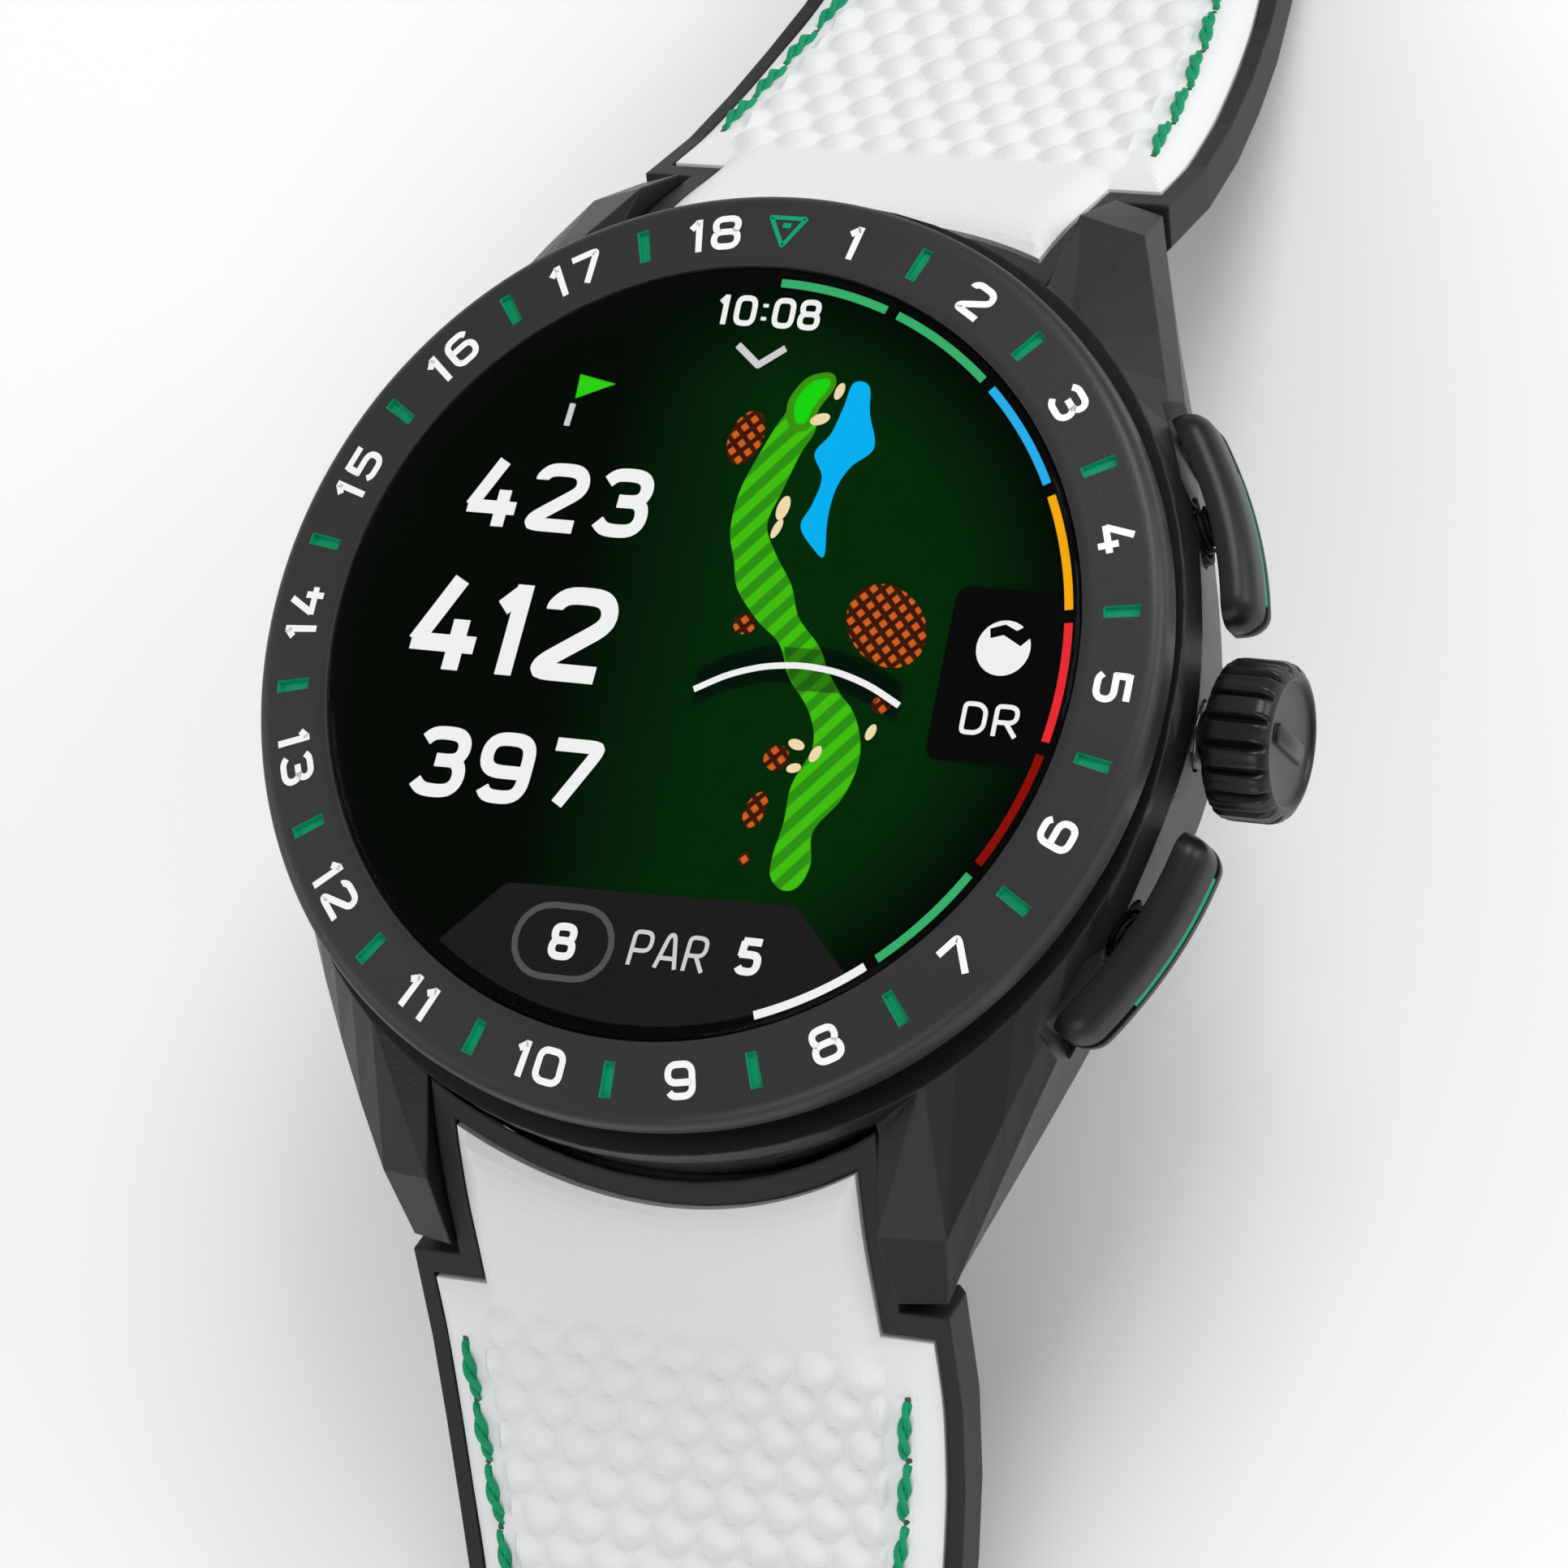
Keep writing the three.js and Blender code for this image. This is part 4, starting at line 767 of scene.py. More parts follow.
# %% Shapes of the picture
SCREEN_Z, LAYER = 12.86, 0.01
picture_points, picture_faces, picture_slots = [], [], []
picture_finishes = list(lit)


def add_shape(finish, layer, points, faces):
    """Adds flat points and faces, given in two dimensions, to the picture."""
    start = len(picture_points)
    picture_points.extend((p[0], p[1], SCREEN_Z + LAYER * layer) for p in points)
    for f in faces:
        ring = [points[i] for i in f]
        area = sum(a[0] * b[1] - b[0] * a[1] for a, b in zip(ring, ring[1:] + ring[:1]))
        picture_faces.append(tuple(start + i for i in (f if area > 0 else f[::-1])))
        picture_slots.append(picture_finishes.index(finish))


def smooth_loop(points, steps=6):
    """A closed smooth curve through points."""
    pts = [np.array(p, float) for p in points]
    count, out = len(pts), []
    for i in range(count):
        a, b, c, d = pts[i - 1], pts[i], pts[(i + 1) % count], pts[(i + 2) % count]
        for k in range(steps):
            t = k / steps
            out.append(tuple(0.5 * (2 * b + (c - a) * t + (2 * a - 5 * b + 4 * c - d) * t * t
                                    + (3 * b - a - 3 * c + d) * t ** 3)))
    return out


def add_blob(finish, layer, points, smooth=True):
    outline = smooth_loop(points) if smooth else points
    add_shape(finish, layer, outline, [tuple(range(len(outline)))])


def add_line(finish, layer, points, width, corner=0.3):
    add_shape(finish, layer, *stroke(points, width, corner))


def add_word(finish, layer, text, centre, height, width, gap, weight, slant=0.0):
    points, faces = lettering(text, height, width, gap, weight, slant)
    add_shape(finish, layer, [(x + centre[0], y + centre[1]) for x, y in points], faces)


def arc(radius, turns):
    """Points on a circle at clockwise angles from the top."""
    return [(radius * math.sin(a), radius * math.cos(a)) for a in turns]


def round_box(x0, x1, y0, y1, corner, steps=5):
    """A rectangle with round corners."""
    out = []
    for cx, cy, start in ((x1 - corner, y1 - corner, 0), (x0 + corner, y1 - corner, 90),
                          (x0 + corner, y0 + corner, 180), (x1 - corner, y0 + corner, 270)):
        for k in range(steps + 1):
            a = math.radians(start + 90 * k / steps)
            out.append((cx + corner * math.cos(a), cy + corner * math.sin(a)))
    return out


def oval(x, y, rx, ry, lean=0.0, steps=24):
    """An ellipse that leans by an angle in degrees."""
    c, s = math.cos(math.radians(lean)), math.sin(math.radians(lean))
    loop = [(rx * math.cos(2 * math.pi * k / steps), ry * math.sin(2 * math.pi * k / steps))
            for k in range(steps)]
    return [(x + u * c - v * s, y + u * s + v * c) for u, v in loop]


print("picture helpers ready")

# %% Backdrop and ring of bars
EDGE_R, LIT_R, DISC_STEPS = 18.37, 17.7, 180
full_turn = np.linspace(0, 2 * math.pi, DISC_STEPS + 1)[:-1]
add_shape("black", -1, arc(EDGE_R, full_turn), [tuple(range(DISC_STEPS))])
add_shape("backdrop", 0, arc(LIT_R, full_turn), [tuple(range(DISC_STEPS))])
BAR_IN, BAR_OUT, BAR_STEPS = 17.55, 17.95, 12
for k, finish in enumerate(("green", "green", "blue", "amber", "red", "dark_red", "green", "white")):
    sweep = np.radians(np.linspace(20 * k + 1.0, 20 * k + 19.0, BAR_STEPS + 1))
    add_shape(finish, 2, arc(BAR_IN, sweep) + arc(BAR_OUT, sweep), tie_grid(2, BAR_STEPS + 1))

# %% Distances, time and panels
add_word("white", 3, "10:08", (0.0, 16.3), 1.5, 1.12, 0.17, 0.27)
add_line("soft_white", 3, [(-1.2, 14.62), (0.0, 13.72), (1.2, 14.62)], 0.34, 0.02)
add_word("white", 3, "423", (-8.55, 6.6), 3.35, 2.75, 0.55, 0.64, slant=0.06)
add_word("white", 3, "412", (-9.5, 0.15), 4.55, 3.65, 0.35, 0.84, slant=0.06)
add_word("white", 3, "397", (-8.3, -6.45), 3.4, 2.75, 0.55, 0.64, slant=0.06)
add_blob("flag", 3, [(-8.8, 12.65), (-6.9, 12.3), (-8.8, 11.45)], smooth=False)
add_line("soft_white", 3, [(-8.85, 11.2), (-8.95, 10.1)], 0.3, 0.02)
lower_arc = arc(LIT_R - 0.02, np.radians(np.linspace(144.0, 213.5, 24)))
add_blob("panel", 1, [(-9.75, -14.7), (-7.0, -11.75), (7.3, -11.4)] + lower_arc, smooth=False)
pill = round_box(-6.0, -1.2, -15.9, -12.55, 1.65)
add_shape("grey", 3, *stroke(pill + ["closed"], 0.3, 0.1))
add_word("white", 3, "8", (-3.6, -14.2), 1.75, 1.35, 0.2, 0.36)
add_word("soft_white", 3, "PAR", (1.65, -14.1), 1.7, 1.1, 0.26, 0.2, slant=0.08)
add_word("white", 3, "5", (5.6, -13.95), 1.75, 1.25, 0.2, 0.36, slant=0.08)
add_blob("black", 1, round_box(11.95, 17.45, -4.1, 4.1, 0.7), smooth=False)
add_blob("white", 3, oval(14.7, 1.35, 1.3, 1.3), smooth=False)
add_blob("black", 4, [(14.0, 1.75), (14.6, 1.95), (15.5, 1.5), (16.3, 2.35), (15.95, 2.7), (15.2, 2.2),
                      (14.6, 2.45), (13.9, 2.2)], smooth=False)
add_word("white", 3, "DR", (14.75, -2.0), 1.55, 1.25, 0.3, 0.22)
print(len(picture_faces), "faces so far")

# %% [markdown]
# The map is one hole of a made-up course: a fairway that winds from the tee to the putting
# green, a pond, some sand, some woods, and the arc that marks how far the next shot reaches.

# %% The course map
left_edge = [(1.75, 11.3), (1.0, 9.5), (0.4, 7.6), (0.35, 5.7), (0.85, 4.3), (1.3, 3.0), (2.6, 1.6),
             (3.9, 0.6), (4.7, -0.9), (6.0, -2.4), (6.55, -4.0), (5.9, -5.9), (5.9, -7.6), (5.7, -9.2)]
right_edge = [(3.5, 11.0), (3.0, 9.6), (2.5, 7.8), (2.1, 6.2), (2.75, 4.9), (3.9, 3.4), (4.6, 1.9),
              (5.9, 0.6), (6.7, -0.9), (8.2, -2.3), (8.9, -4.2), (8.5, -6.2), (7.4, -7.9), (7.6, -9.4)]
tee = [(7.25, -10.5), (6.5, -10.75), (5.8, -10.2)]
add_blob("fairway", 2, left_edge[::-1] + [(2.4, 12.0)] + right_edge + tee)
add_blob("fringe", 3, [(1.9, 12.2), (2.6, 13.3), (3.7, 13.6), (4.05, 13.0), (3.5, 11.9), (3.2, 10.9),
                       (2.5, 10.7), (2.0, 11.2)])
add_blob("putting", 4, [(2.25, 12.1), (2.8, 13.05), (3.6, 13.3), (3.75, 12.9), (3.2, 11.9), (2.95, 11.15),
                        (2.45, 11.15)])
add_blob("water", 2, [(4.9, 13.2), (5.7, 13.1), (6.0, 11.8), (6.55, 10.2), (5.6, 9.2), (5.1, 8.1), (5.0, 6.6),
                      (5.2, 4.9), (4.6, 5.2), (3.75, 6.2), (4.1, 7.3), (4.3, 8.6), (3.7, 9.7), (4.3, 10.7),
                      (4.65, 12.0)])
# Each oval is its middle, its two half sizes and its lean in degrees.
SAND = ((4.3, 12.75, 0.22, 0.42, -15), (3.62, 11.35, 0.5, 0.27, 20), (2.72, 7.0, 0.3, 0.6, -12),
        (2.62, 6.0, 0.2, 0.5, -20), (5.75, -4.0, 0.42, 0.24, -15), (6.75, -4.35, 0.24, 0.42, -25),
        (5.85, -5.1, 0.36, 0.22, 15), (9.2, -3.1, 0.22, 0.4, -20))
TREES = ((8.9, 1.9, 2.25, 1.7, -40), (0.15, 10.2, 0.85, 1.35, -14), (2.0, 1.4, 0.55, 0.5, 0),
         (9.4, -1.8, 0.5, 0.4, 0), (4.9, -4.7, 0.62, 0.6, 20), (4.4, -7.2, 0.5, 0.9, -18),
         (4.35, -9.5, 0.32, 0.32, 0))
for finish, layer, ovals in (("sand", 3, SAND), ("trees", 1, TREES)):
    for spot in ovals:
        add_blob(finish, layer, oval(*spot), smooth=False)
shot = [(0.2, -1.9), (1.7, -1.05), (3.4, -0.5), (5.2, -0.3), (7.0, -0.45), (8.7, -0.95), (10.3, -1.75)]
add_line("white", 5, shot, 0.3, 0.7)
reach_band = [(x, y + 1.0) for x, y in shot] + [(x, y - 0.8) for x, y in shot[::-1]]
add_blob("band", 1, reach_band, smooth=False)
add_blob("dim_fairway", 3, [(4.15, 0.5), (6.0, 0.5), (6.6, -0.55), (7.35, -1.45), (5.2, -1.5), (4.65, -0.75)],
         smooth=False)
screen_image = make_piece("screen_image", picture_points, picture_faces, list(lit.values()), picture_slots,
                          smooth=0)
keep(screen_image, "case", "display", "display_panel")

# %% [markdown]
# ## The crown
# The crown is a short knob with eighteen grooves, so that a wet thumb can turn it. Its surface
# is again a grid: the section runs along the stem's axis, and at every step round, the radius
# dips where a groove is. The dips fade out at both rims, which leaves the small scallops that a
# round cutter makes. The dished end has a raised bar across it.

# %% Fluted knob
CROWN_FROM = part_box("crown_head")[0].x / MM
CROWN_Z = (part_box("crown_head")[0].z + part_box("crown_head")[1].z) / 2 / MM
FLUTES, STEPS_PER_FLUTE = 18, 14
DIP, DIP_WIDTH, RIPPLE = 0.50, 0.135, 0.05
# Each step of the section is a depth, a radius and the share of the groove that it has.
crown_section = [
    (0.0, 1.0, 0.0), (0.0, 2.9, 0.0), (0.05, 3.25, 0.15), (0.2, 3.56, 0.7), (0.45, 3.72, 1.0),
    (0.8, 3.75, 1.0), (1.6, 3.75, 1.0), (2.4, 3.75, 1.0), (2.65, 3.72, 1.0), (2.9, 3.6, 0.75),
    (3.08, 3.4, 0.3),
    (3.18, 3.2, 0.0), (3.23, 3.05, 0.0), (3.22, 2.92, 0.0), (3.17, 2.82, 0.0), (3.08, 2.76, 0.0),
    (3.02, 2.68, 0.0), (3.0, 2.5, 0.0), (3.0, 1.2, 0.0), (3.0, 0.02, 0.0)]
crown_points = []
around = FLUTES * STEPS_PER_FLUTE
for depth, radius, share in crown_section:
    for k in range(around):
        phase = (k % STEPS_PER_FLUTE) / STEPS_PER_FLUTE - 0.5
        dip = DIP * math.exp(-(phase / DIP_WIDTH) ** 2) - RIPPLE * math.cos(2 * math.pi * phase)
        r = radius - share * dip - RIPPLE * share
        angle = 2 * math.pi * k / around
        crown_points.append((CROWN_FROM + depth, r * math.cos(angle), CROWN_Z + r * math.sin(angle)))
crown_faces = tube_faces(len(crown_section), around)
bar_start = len(crown_points)
for depth, half_y, half_z in ((2.9, 0.5, 1.9), (3.12, 0.5, 1.9), (3.18, 0.42, 1.82)):
    outline = round_box(-half_y, half_y, -half_z, half_z, 0.35)
    crown_points += [(CROWN_FROM + depth, y, CROWN_Z + z) for y, z in outline]
crown_faces += tube_faces(3, len(outline), start=bar_start)
crown_knob = make_piece("crown_knob", crown_points, crown_faces, [finishes["gloss_crown"]], smooth=40.0)
face_outwards(crown_knob)
keep(crown_knob, "crown", "gloss_crown", "crown_head")

# %% [markdown]
# ## The side pushers
# Each pusher is a slim blade that follows the flank, with round ends and a green line let into
# its outer face. Its section is swept along the flank's curve: `blade_line` gives a point on
# that curve, moved inwards by a distance, and the section shrinks towards both ends. The line
# is a second, thinner sweep in the blade's groove.

# %% Pusher blades
BLADE_ENDS = [np.array(p) for p in ((24.3, 4.9), (23.5, 10.4), (19.4, 15.5))]
BLADE_Z, BLADE_T, BLADE_MIDDLE = CROWN_Z, 1.5, 0.3
BLADE_ROUNDING, BLADE_STEPS = 0.11, 40
BLADE_FROM_TO, LINE_FROM_TO = (0.01, 0.985), (0.14, 0.72)
GROOVE_LOW, GROOVE_HIGH, GROOVE_DEPTH = -0.62, -0.12, 0.22


def blade_line(t, inset):
    """A point in plan on the pusher's outer curve, moved inwards."""
    a, b, c = BLADE_ENDS
    spot = (1 - t) ** 2 * a + 2 * t * (1 - t) * b + t * t * c
    along = 2 * (1 - t) * (b - a) + 2 * t * (c - b)
    along = along / np.linalg.norm(along)
    return spot[0] - along[1] * inset, spot[1] + along[0] * inset


def sweep_blade(name, side, section, ends, shrink):
    """Sweeps (inset, height) pairs along the blade, round at the ends, for one side of the watch."""
    mirror = 1 if side == "upper" else -1
    stations = ends[0] + (ends[1] - ends[0]) * (0.5 - 0.5 * np.cos(np.linspace(0.0, math.pi, BLADE_STEPS + 1)))
    points = []
    for t in stations:
        near = min(t - ends[0], ends[1] - t) / BLADE_ROUNDING
        full = math.sqrt(max(0.0, 1 - max(0.0, 1 - near) ** 2)) if shrink else 1.0
        for inset, height in section:
            drop = (1 - full) * (BLADE_T - inset) * 0.9
            x, y = blade_line(t, inset + drop)
            points.append((x, mirror * y, BLADE_Z + BLADE_MIDDLE
                           + (height - BLADE_MIDDLE) * (0.35 + 0.65 * full)))
    faces = tube_faces(len(stations), len(section))
    obj = make_piece(name, points, faces, [finishes["black_steel"]], smooth=32.0)
    face_outwards(obj)
    return obj


blade_section = [(BLADE_T, -1.35), (0.5, -1.35), (0.22, -1.3), (0.06, -1.12), (0.0, -0.9),
                 (0.0, GROOVE_LOW), (GROOVE_DEPTH, GROOVE_LOW + 0.02), (GROOVE_DEPTH, GROOVE_HIGH - 0.02),
                 (0.0, GROOVE_HIGH), (0.0, 0.9), (0.08, 1.3), (0.3, 1.65), (0.62, 1.88), (0.95, 1.95),
                 (BLADE_T, 1.95)]
line_low, line_high, line_back = GROOVE_LOW + 0.03, GROOVE_HIGH - 0.03, GROOVE_DEPTH - 0.01
line_section = [(0.05, line_low), (0.05, line_high), (line_back, line_high), (line_back, line_low)]
for side in ("upper", "lower"):
    blade = sweep_blade(f"{side}_blade", side, blade_section, BLADE_FROM_TO, True)
    keep(blade, f"{side}_pusher", "black_steel", f"{side}_pusher_cap")
    line = sweep_blade(f"{side}_blade_line", side, line_section, LINE_FROM_TO, False)
    line.data.materials[0] = green
    keep(line, f"{side}_pusher", "green_plastic", f"{side}_pusher_inlay")

# %% [markdown]
# ## Springs in their pockets
# A spring rides on the button that it pushes out, so it is wound here at the length that it has
# when the button is pressed. It then never runs into the bottom of its pocket. The guides, stems
# and springs behind the pushers are black as painted shade: they sit in deep shade beside the
# blades, and the black stands in for that shade where the slots would show bright wire.

# %% Wound springs


def wind(name, radius, start, end, heading, turns=4, wire=0.1, steps=14, sides=6):
    """A coil between two distances from the middle, along a heading in the plane of the buttons."""
    points = []
    for i in range(turns * steps + 1):
        t = i / (turns * steps)
        a = 2 * math.pi * turns * t
        for k in range(sides):
            b = 2 * math.pi * k / sides
            reach = radius + wire * math.cos(b)
            x = start + wire + (end - start - 2 * wire) * t + wire * math.sin(b)
            y = reach * math.cos(a)
            points.append((x * math.cos(heading) - y * math.sin(heading),
                           x * math.sin(heading) + y * math.cos(heading), BLADE_Z + reach * math.sin(a)))
    faces = tube_faces(turns * steps + 1, sides)
    # Every coil is black: painted shade, standing in for the shade in its pocket.
    obj = make_piece(name, points, faces, [finishes["seal"]], smooth=60.0)
    face_outwards(obj)
    return obj


PRESS, PUSHER_TURN = 0.5, math.radians(25.0)
ring_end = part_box("crown_o_ring")[1].x / MM
keep(wind("crown_coil", 1.05, ring_end + 0.07 + PRESS, CROWN_FROM - 0.05, 0.0), "crown_carrier", "steel",
     "crown_spring")
inner_curve = [blade_line(t, BLADE_T) for t in np.linspace(0, 1, 201)]
seat = math.hypot(*min(inner_curve, key=lambda p: abs(math.atan2(p[1], p[0]) - PUSHER_TURN)))
# The coils, guides and stems take the black seal finish as painted shade for the deep shade beside the blades.
for side, mirror in (("upper", 1), ("lower", -1)):
    keep(wind(f"{side}_coil", 1.02, seat - 1.95 + PRESS, seat - 0.05, mirror * PUSHER_TURN),
         f"{side}_pusher", "steel", f"{side}_pusher_spring")
    for part in ("guide", "stem"):
        materials = frame["nodes"][f"{side}_pusher_{part}"].data.materials
        materials.clear()
        materials.append(finishes["seal"])
print("springs wound, guides blackened")

# %% [markdown]
# ## A lip beside each strap
# The strap's end needs a little room to turn beside the case. A black lip on the case's wall
# closes most of that gap; it is painted shade, a dark sheet that stands in for the shade in the
# gap, so that the floor does not show through it. It is a short piece of a ring with a square
# section.

# %% Lips
LIP_IN, LIP_OUT, LIP_LOW, LIP_HIGH, LIP_TURN, LIP_STEPS = 22.62, 22.98, 4.3, 5.2, 28.5, 60
for side, middle in (("upper", 90.0), ("lower", 270.0)):
    turns = np.radians(np.linspace(middle - LIP_TURN, middle + LIP_TURN, LIP_STEPS + 1))
    corners = ((LIP_IN, LIP_LOW), (LIP_OUT, LIP_LOW + 0.1), (LIP_OUT, LIP_HIGH - 0.1), (LIP_IN, LIP_HIGH))
    lip_points = [(r * math.cos(a), r * math.sin(a), z) for a in turns for r, z in corners]
    lip_faces = tube_faces(LIP_STEPS + 1, len(corners))
    # The black finish is painted shade: the lip stands in for the shade in the gap beside the strap.
    lip = make_piece(f"{side}_lip", lip_points, lip_faces, [finishes["seal"]], smooth=30.0)
    face_outwards(lip)
    keep(lip, "case", "seal")

# %% [markdown]
# ## The line of the strap
# Both strap halves follow one smooth curve in side view: they drop steeply past the lugs and
# ease out on to the table. Everything on the strap is placed by two numbers, a distance along
# that curve and a distance across it, so the curve is worked out once, with its upward
# direction and its running length.

# %% Strap curve
STRAP_T, CURVE_STEPS = 2.6, 60
BAR_Y, REST_Z = 24.4, cad_bounds[0][2] / MM + STRAP_T
# Points from the spring bar outwards, as (distance along y, height).
FALL = [(-5.4, 8.9), (-2.7, 6.75), (0, 4.15), (2.6, 1.1), (5.6, -2.3), (8.8, -5.1), (12.1, -7.5),
        (15.3, -9.6), (19.6, -11.7)]
LEATHER_END = {"upper": 71.6, "lower": 78.1}


def strap_curve(length):
    """Closely spaced points (y, height) along the rim line of a strap half."""
    level = [(24.5, 1.5), (30, 0.45), (35, 0.05), (40, 0), (length + 3, 0)]
    pts = [np.array((BAR_Y + y, z)) for y, z in FALL]
    pts += [np.array((BAR_Y + y, REST_Z + lift)) for y, lift in level]
    pts = [2 * pts[0] - pts[1]] + pts + [2 * pts[-1] - pts[-2]]
    out = []
    for a, b, c, d in zip(pts, pts[1:], pts[2:], pts[3:]):
        ta, tb, tc = (math.sqrt(np.linalg.norm(v)) for v in (b - a, c - b, d - c))
        slope_in = ((b - a) / ta - (c - a) / (ta + tb) + (c - b) / tb) * tb
        slope_out = ((c - b) / tb - (d - b) / (tb + tc) + (d - c) / tc) * tb
        for k in range(CURVE_STEPS):
            t = k / CURVE_STEPS
            out.append(b + slope_in * t + (3 * (c - b) - 2 * slope_in - slope_out) * t * t
                       + (2 * (b - c) + slope_in + slope_out) * t ** 3)
    return np.array(out)


class StrapHalf:
    """Places points on one strap half. end is +1 on the 12 o'clock side and -1 on the other."""

    def __init__(self, side, end, length):
        self.side, self.end = side, end
        self.line = strap_curve(length)
        steps = np.diff(self.line, axis=0)
        self.run = np.concatenate([[0], np.cumsum(np.hypot(steps[:, 0], steps[:, 1]))])
        self.slope = np.arctan2(np.gradient(self.line[:, 1]), np.gradient(self.line[:, 0]))

    def run_at(self, y):
        """Distance along the curve at y."""
        return float(np.interp(y, self.line[:, 0], self.run))

    def y_at(self, run):
        """The y at a distance along the curve."""
        return float(np.interp(run, self.run, self.line[:, 0]))

    def tilt(self, y):
        """The curve's slope at y, as an angle."""
        return float(np.interp(y, self.line[:, 0], self.slope))

    def place(self, x, y, lift):
        """The point at x across, on the curve's point y, lifted along its upward direction."""
        tilt = self.tilt(y)
        z = float(np.interp(y, self.line[:, 0], self.line[:, 1]))
        return (self.end * x, self.end * (y - lift * math.sin(tilt)), z + lift * math.cos(tilt))


def half_width(y):
    """Half the strap's width at y."""
    t = min(1.0, max(0.0, (y - BAR_Y - 3.6) / 33.0))
    return 13.6 - 3.4 * t * t * (3 - 2 * t)


halves = [StrapHalf("upper", 1, length=55.5), StrapHalf("lower", -1, length=62.0)]
print("strap halves run", [round(h.run[-1]) for h in halves], "mm")

# %% [markdown]
# ## The leather
# The white cover is a padded sheet set into the rubber: level over most of its width and
# rolling down to the rim at its edges. A grid gives its top, with a middle block that also runs
# between the lugs and two side blocks that begin past them. The height of every point comes
# from its distance to the nearest edge, so one rule rolls all the edges, corners included.

# %% White leather finish
leather, leather_tree, leather_shader = new_material("white_leather")
leather_shader.inputs["Specular IOR Level"].default_value = 0.35
pores = leather_tree.nodes.new("ShaderNodeTexVoronoi")
pores.inputs["Scale"].default_value = 4200.0
pores_coords = leather_tree.nodes.new("ShaderNodeTexCoord")
pore_bump = leather_tree.nodes.new("ShaderNodeBump")
pore_bump.inputs["Distance"].default_value = 0.012 * MM
leather_tree.links.new(pores_coords.outputs["Object"], pores.inputs["Vector"])
leather_tree.links.new(pores.outputs["Distance"], pore_bump.inputs["Height"])
creases = use_group(leather_tree, fine_grain, Scale=700.0, Depth=0.03 * MM, Corner=0.05 * MM)
leather_tree.links.new(creases.outputs["Normal"], pore_bump.inputs["Normal"])
leather_tree.links.new(pore_bump.outputs["Normal"], leather_shader.inputs["Normal"])
handled = use_group(leather_tree, smudges, Scale=90.0, Low=0.0, High=1.0)
leather_tree.links.new(
    mix_colours(leather_tree, handled.outputs["Mask"], (0.70, 0.705, 0.715), (0.76, 0.765, 0.77)),
    leather_shader.inputs["Base Color"])
leather_tree.links.new(map_range(leather_tree, creases.outputs["Speckle"], 0.0, 1.0, 0.42, 0.58),
                       leather_shader.inputs["Roughness"])
print("leather finish ready")

# %% [markdown]
# Golf-ball bumps fill a panel on the cover. They stand in staggered rows, each midway between
# two of the next row, and the panel's edge cuts the outermost ones short. They belong to the
# sheet itself, so the grid is fine enough to lift each one without smooth shading, and the same
# rule pulls the leather down a little at each stitch hole.

# %% Height of the leather
STEP_Y, NARROW, ARC_R, ROLL, SKIN, FINE = 27.9, 10.0, 24.05, 2.4, 0.3, 0.23
BUMP_R, BUMP_H, BUMP_PITCH, BUMP_ROW, FIRST_ROW_Y = 1.07, 0.48, 2.29, 1.985, 29.1
FIRST_STITCH_Y, STITCH, DIMPLE_DEPTH, DIMPLE_R = 29.8, 3.3, 0.14, 0.3
RIM, PANEL_INSET, PANEL_END, NEAR_ROWS, SIDE_STEPS = 0.95, 3.35, 3.0, 12, 12


def stitch_x(y):
    """Distance of the stitch line from the strap's middle."""
    return half_width(y) - 2.4 - 0.035 * min(10.0, max(0.0, y - 30.0))


def leather_lift(xs, y, half, y_end):
    """Heights of the leather above the rubber rim for a row of x values."""
    wide = np.abs(np.asarray(xs, float))
    side = half_width(y) - RIM
    if y < STEP_Y:
        edge = np.minimum(NARROW - wide, np.hypot(wide, y) - ARC_R)
    else:
        inner = np.minimum(side - wide, np.hypot(np.minimum(0.0, wide - NARROW), y - STEP_Y))
        edge = np.where(wide > NARROW, np.minimum(side - wide, y - STEP_Y), inner)
    edge = np.clip(np.minimum(edge, y_end - y), 0.0, None)
    dome = 0.5 + 0.5 * min(1.0, max(0.0, (y - 25.0) / 6.0))
    lift = 0.1 + dome * (1 - np.clip(1 - edge / ROLL, 0.0, None) ** 3)
    run = half.run_at(y)
    rows = (run - half.run_at(FIRST_ROW_Y)) / BUMP_ROW
    last_row = math.floor((half.run_at(y_end - PANEL_END) - half.run_at(FIRST_ROW_Y)) / BUMP_ROW)
    inside = np.clip((half_width(y) - PANEL_INSET - wide) / 0.2, 0.0, 1.0)
    for row in (math.floor(rows), math.floor(rows) + 1):
        if 0 <= row <= last_row:
            shift = 0.0 if row % 2 == 0 else BUMP_PITCH / 2
            dx = wide - shift - BUMP_PITCH * np.round((wide - shift) / BUMP_PITCH)
            away = np.hypot(dx, (rows - row) * BUMP_ROW) / BUMP_R
            lift = lift + inside * BUMP_H * np.clip(1 - away ** 2, 0.0, None) ** 1.1
    steps = (run - half.run_at(FIRST_STITCH_Y)) / STITCH
    if round(steps) >= 0 and y < y_end - 1.4:
        away = np.hypot(wide - stitch_x(y), (steps - round(steps)) * STITCH)
        lift = lift - DIMPLE_DEPTH * np.exp(-(away / DIMPLE_R) ** 2)
    return lift


print("bumps every", BUMP_PITCH, "mm")

# %% Leather covers


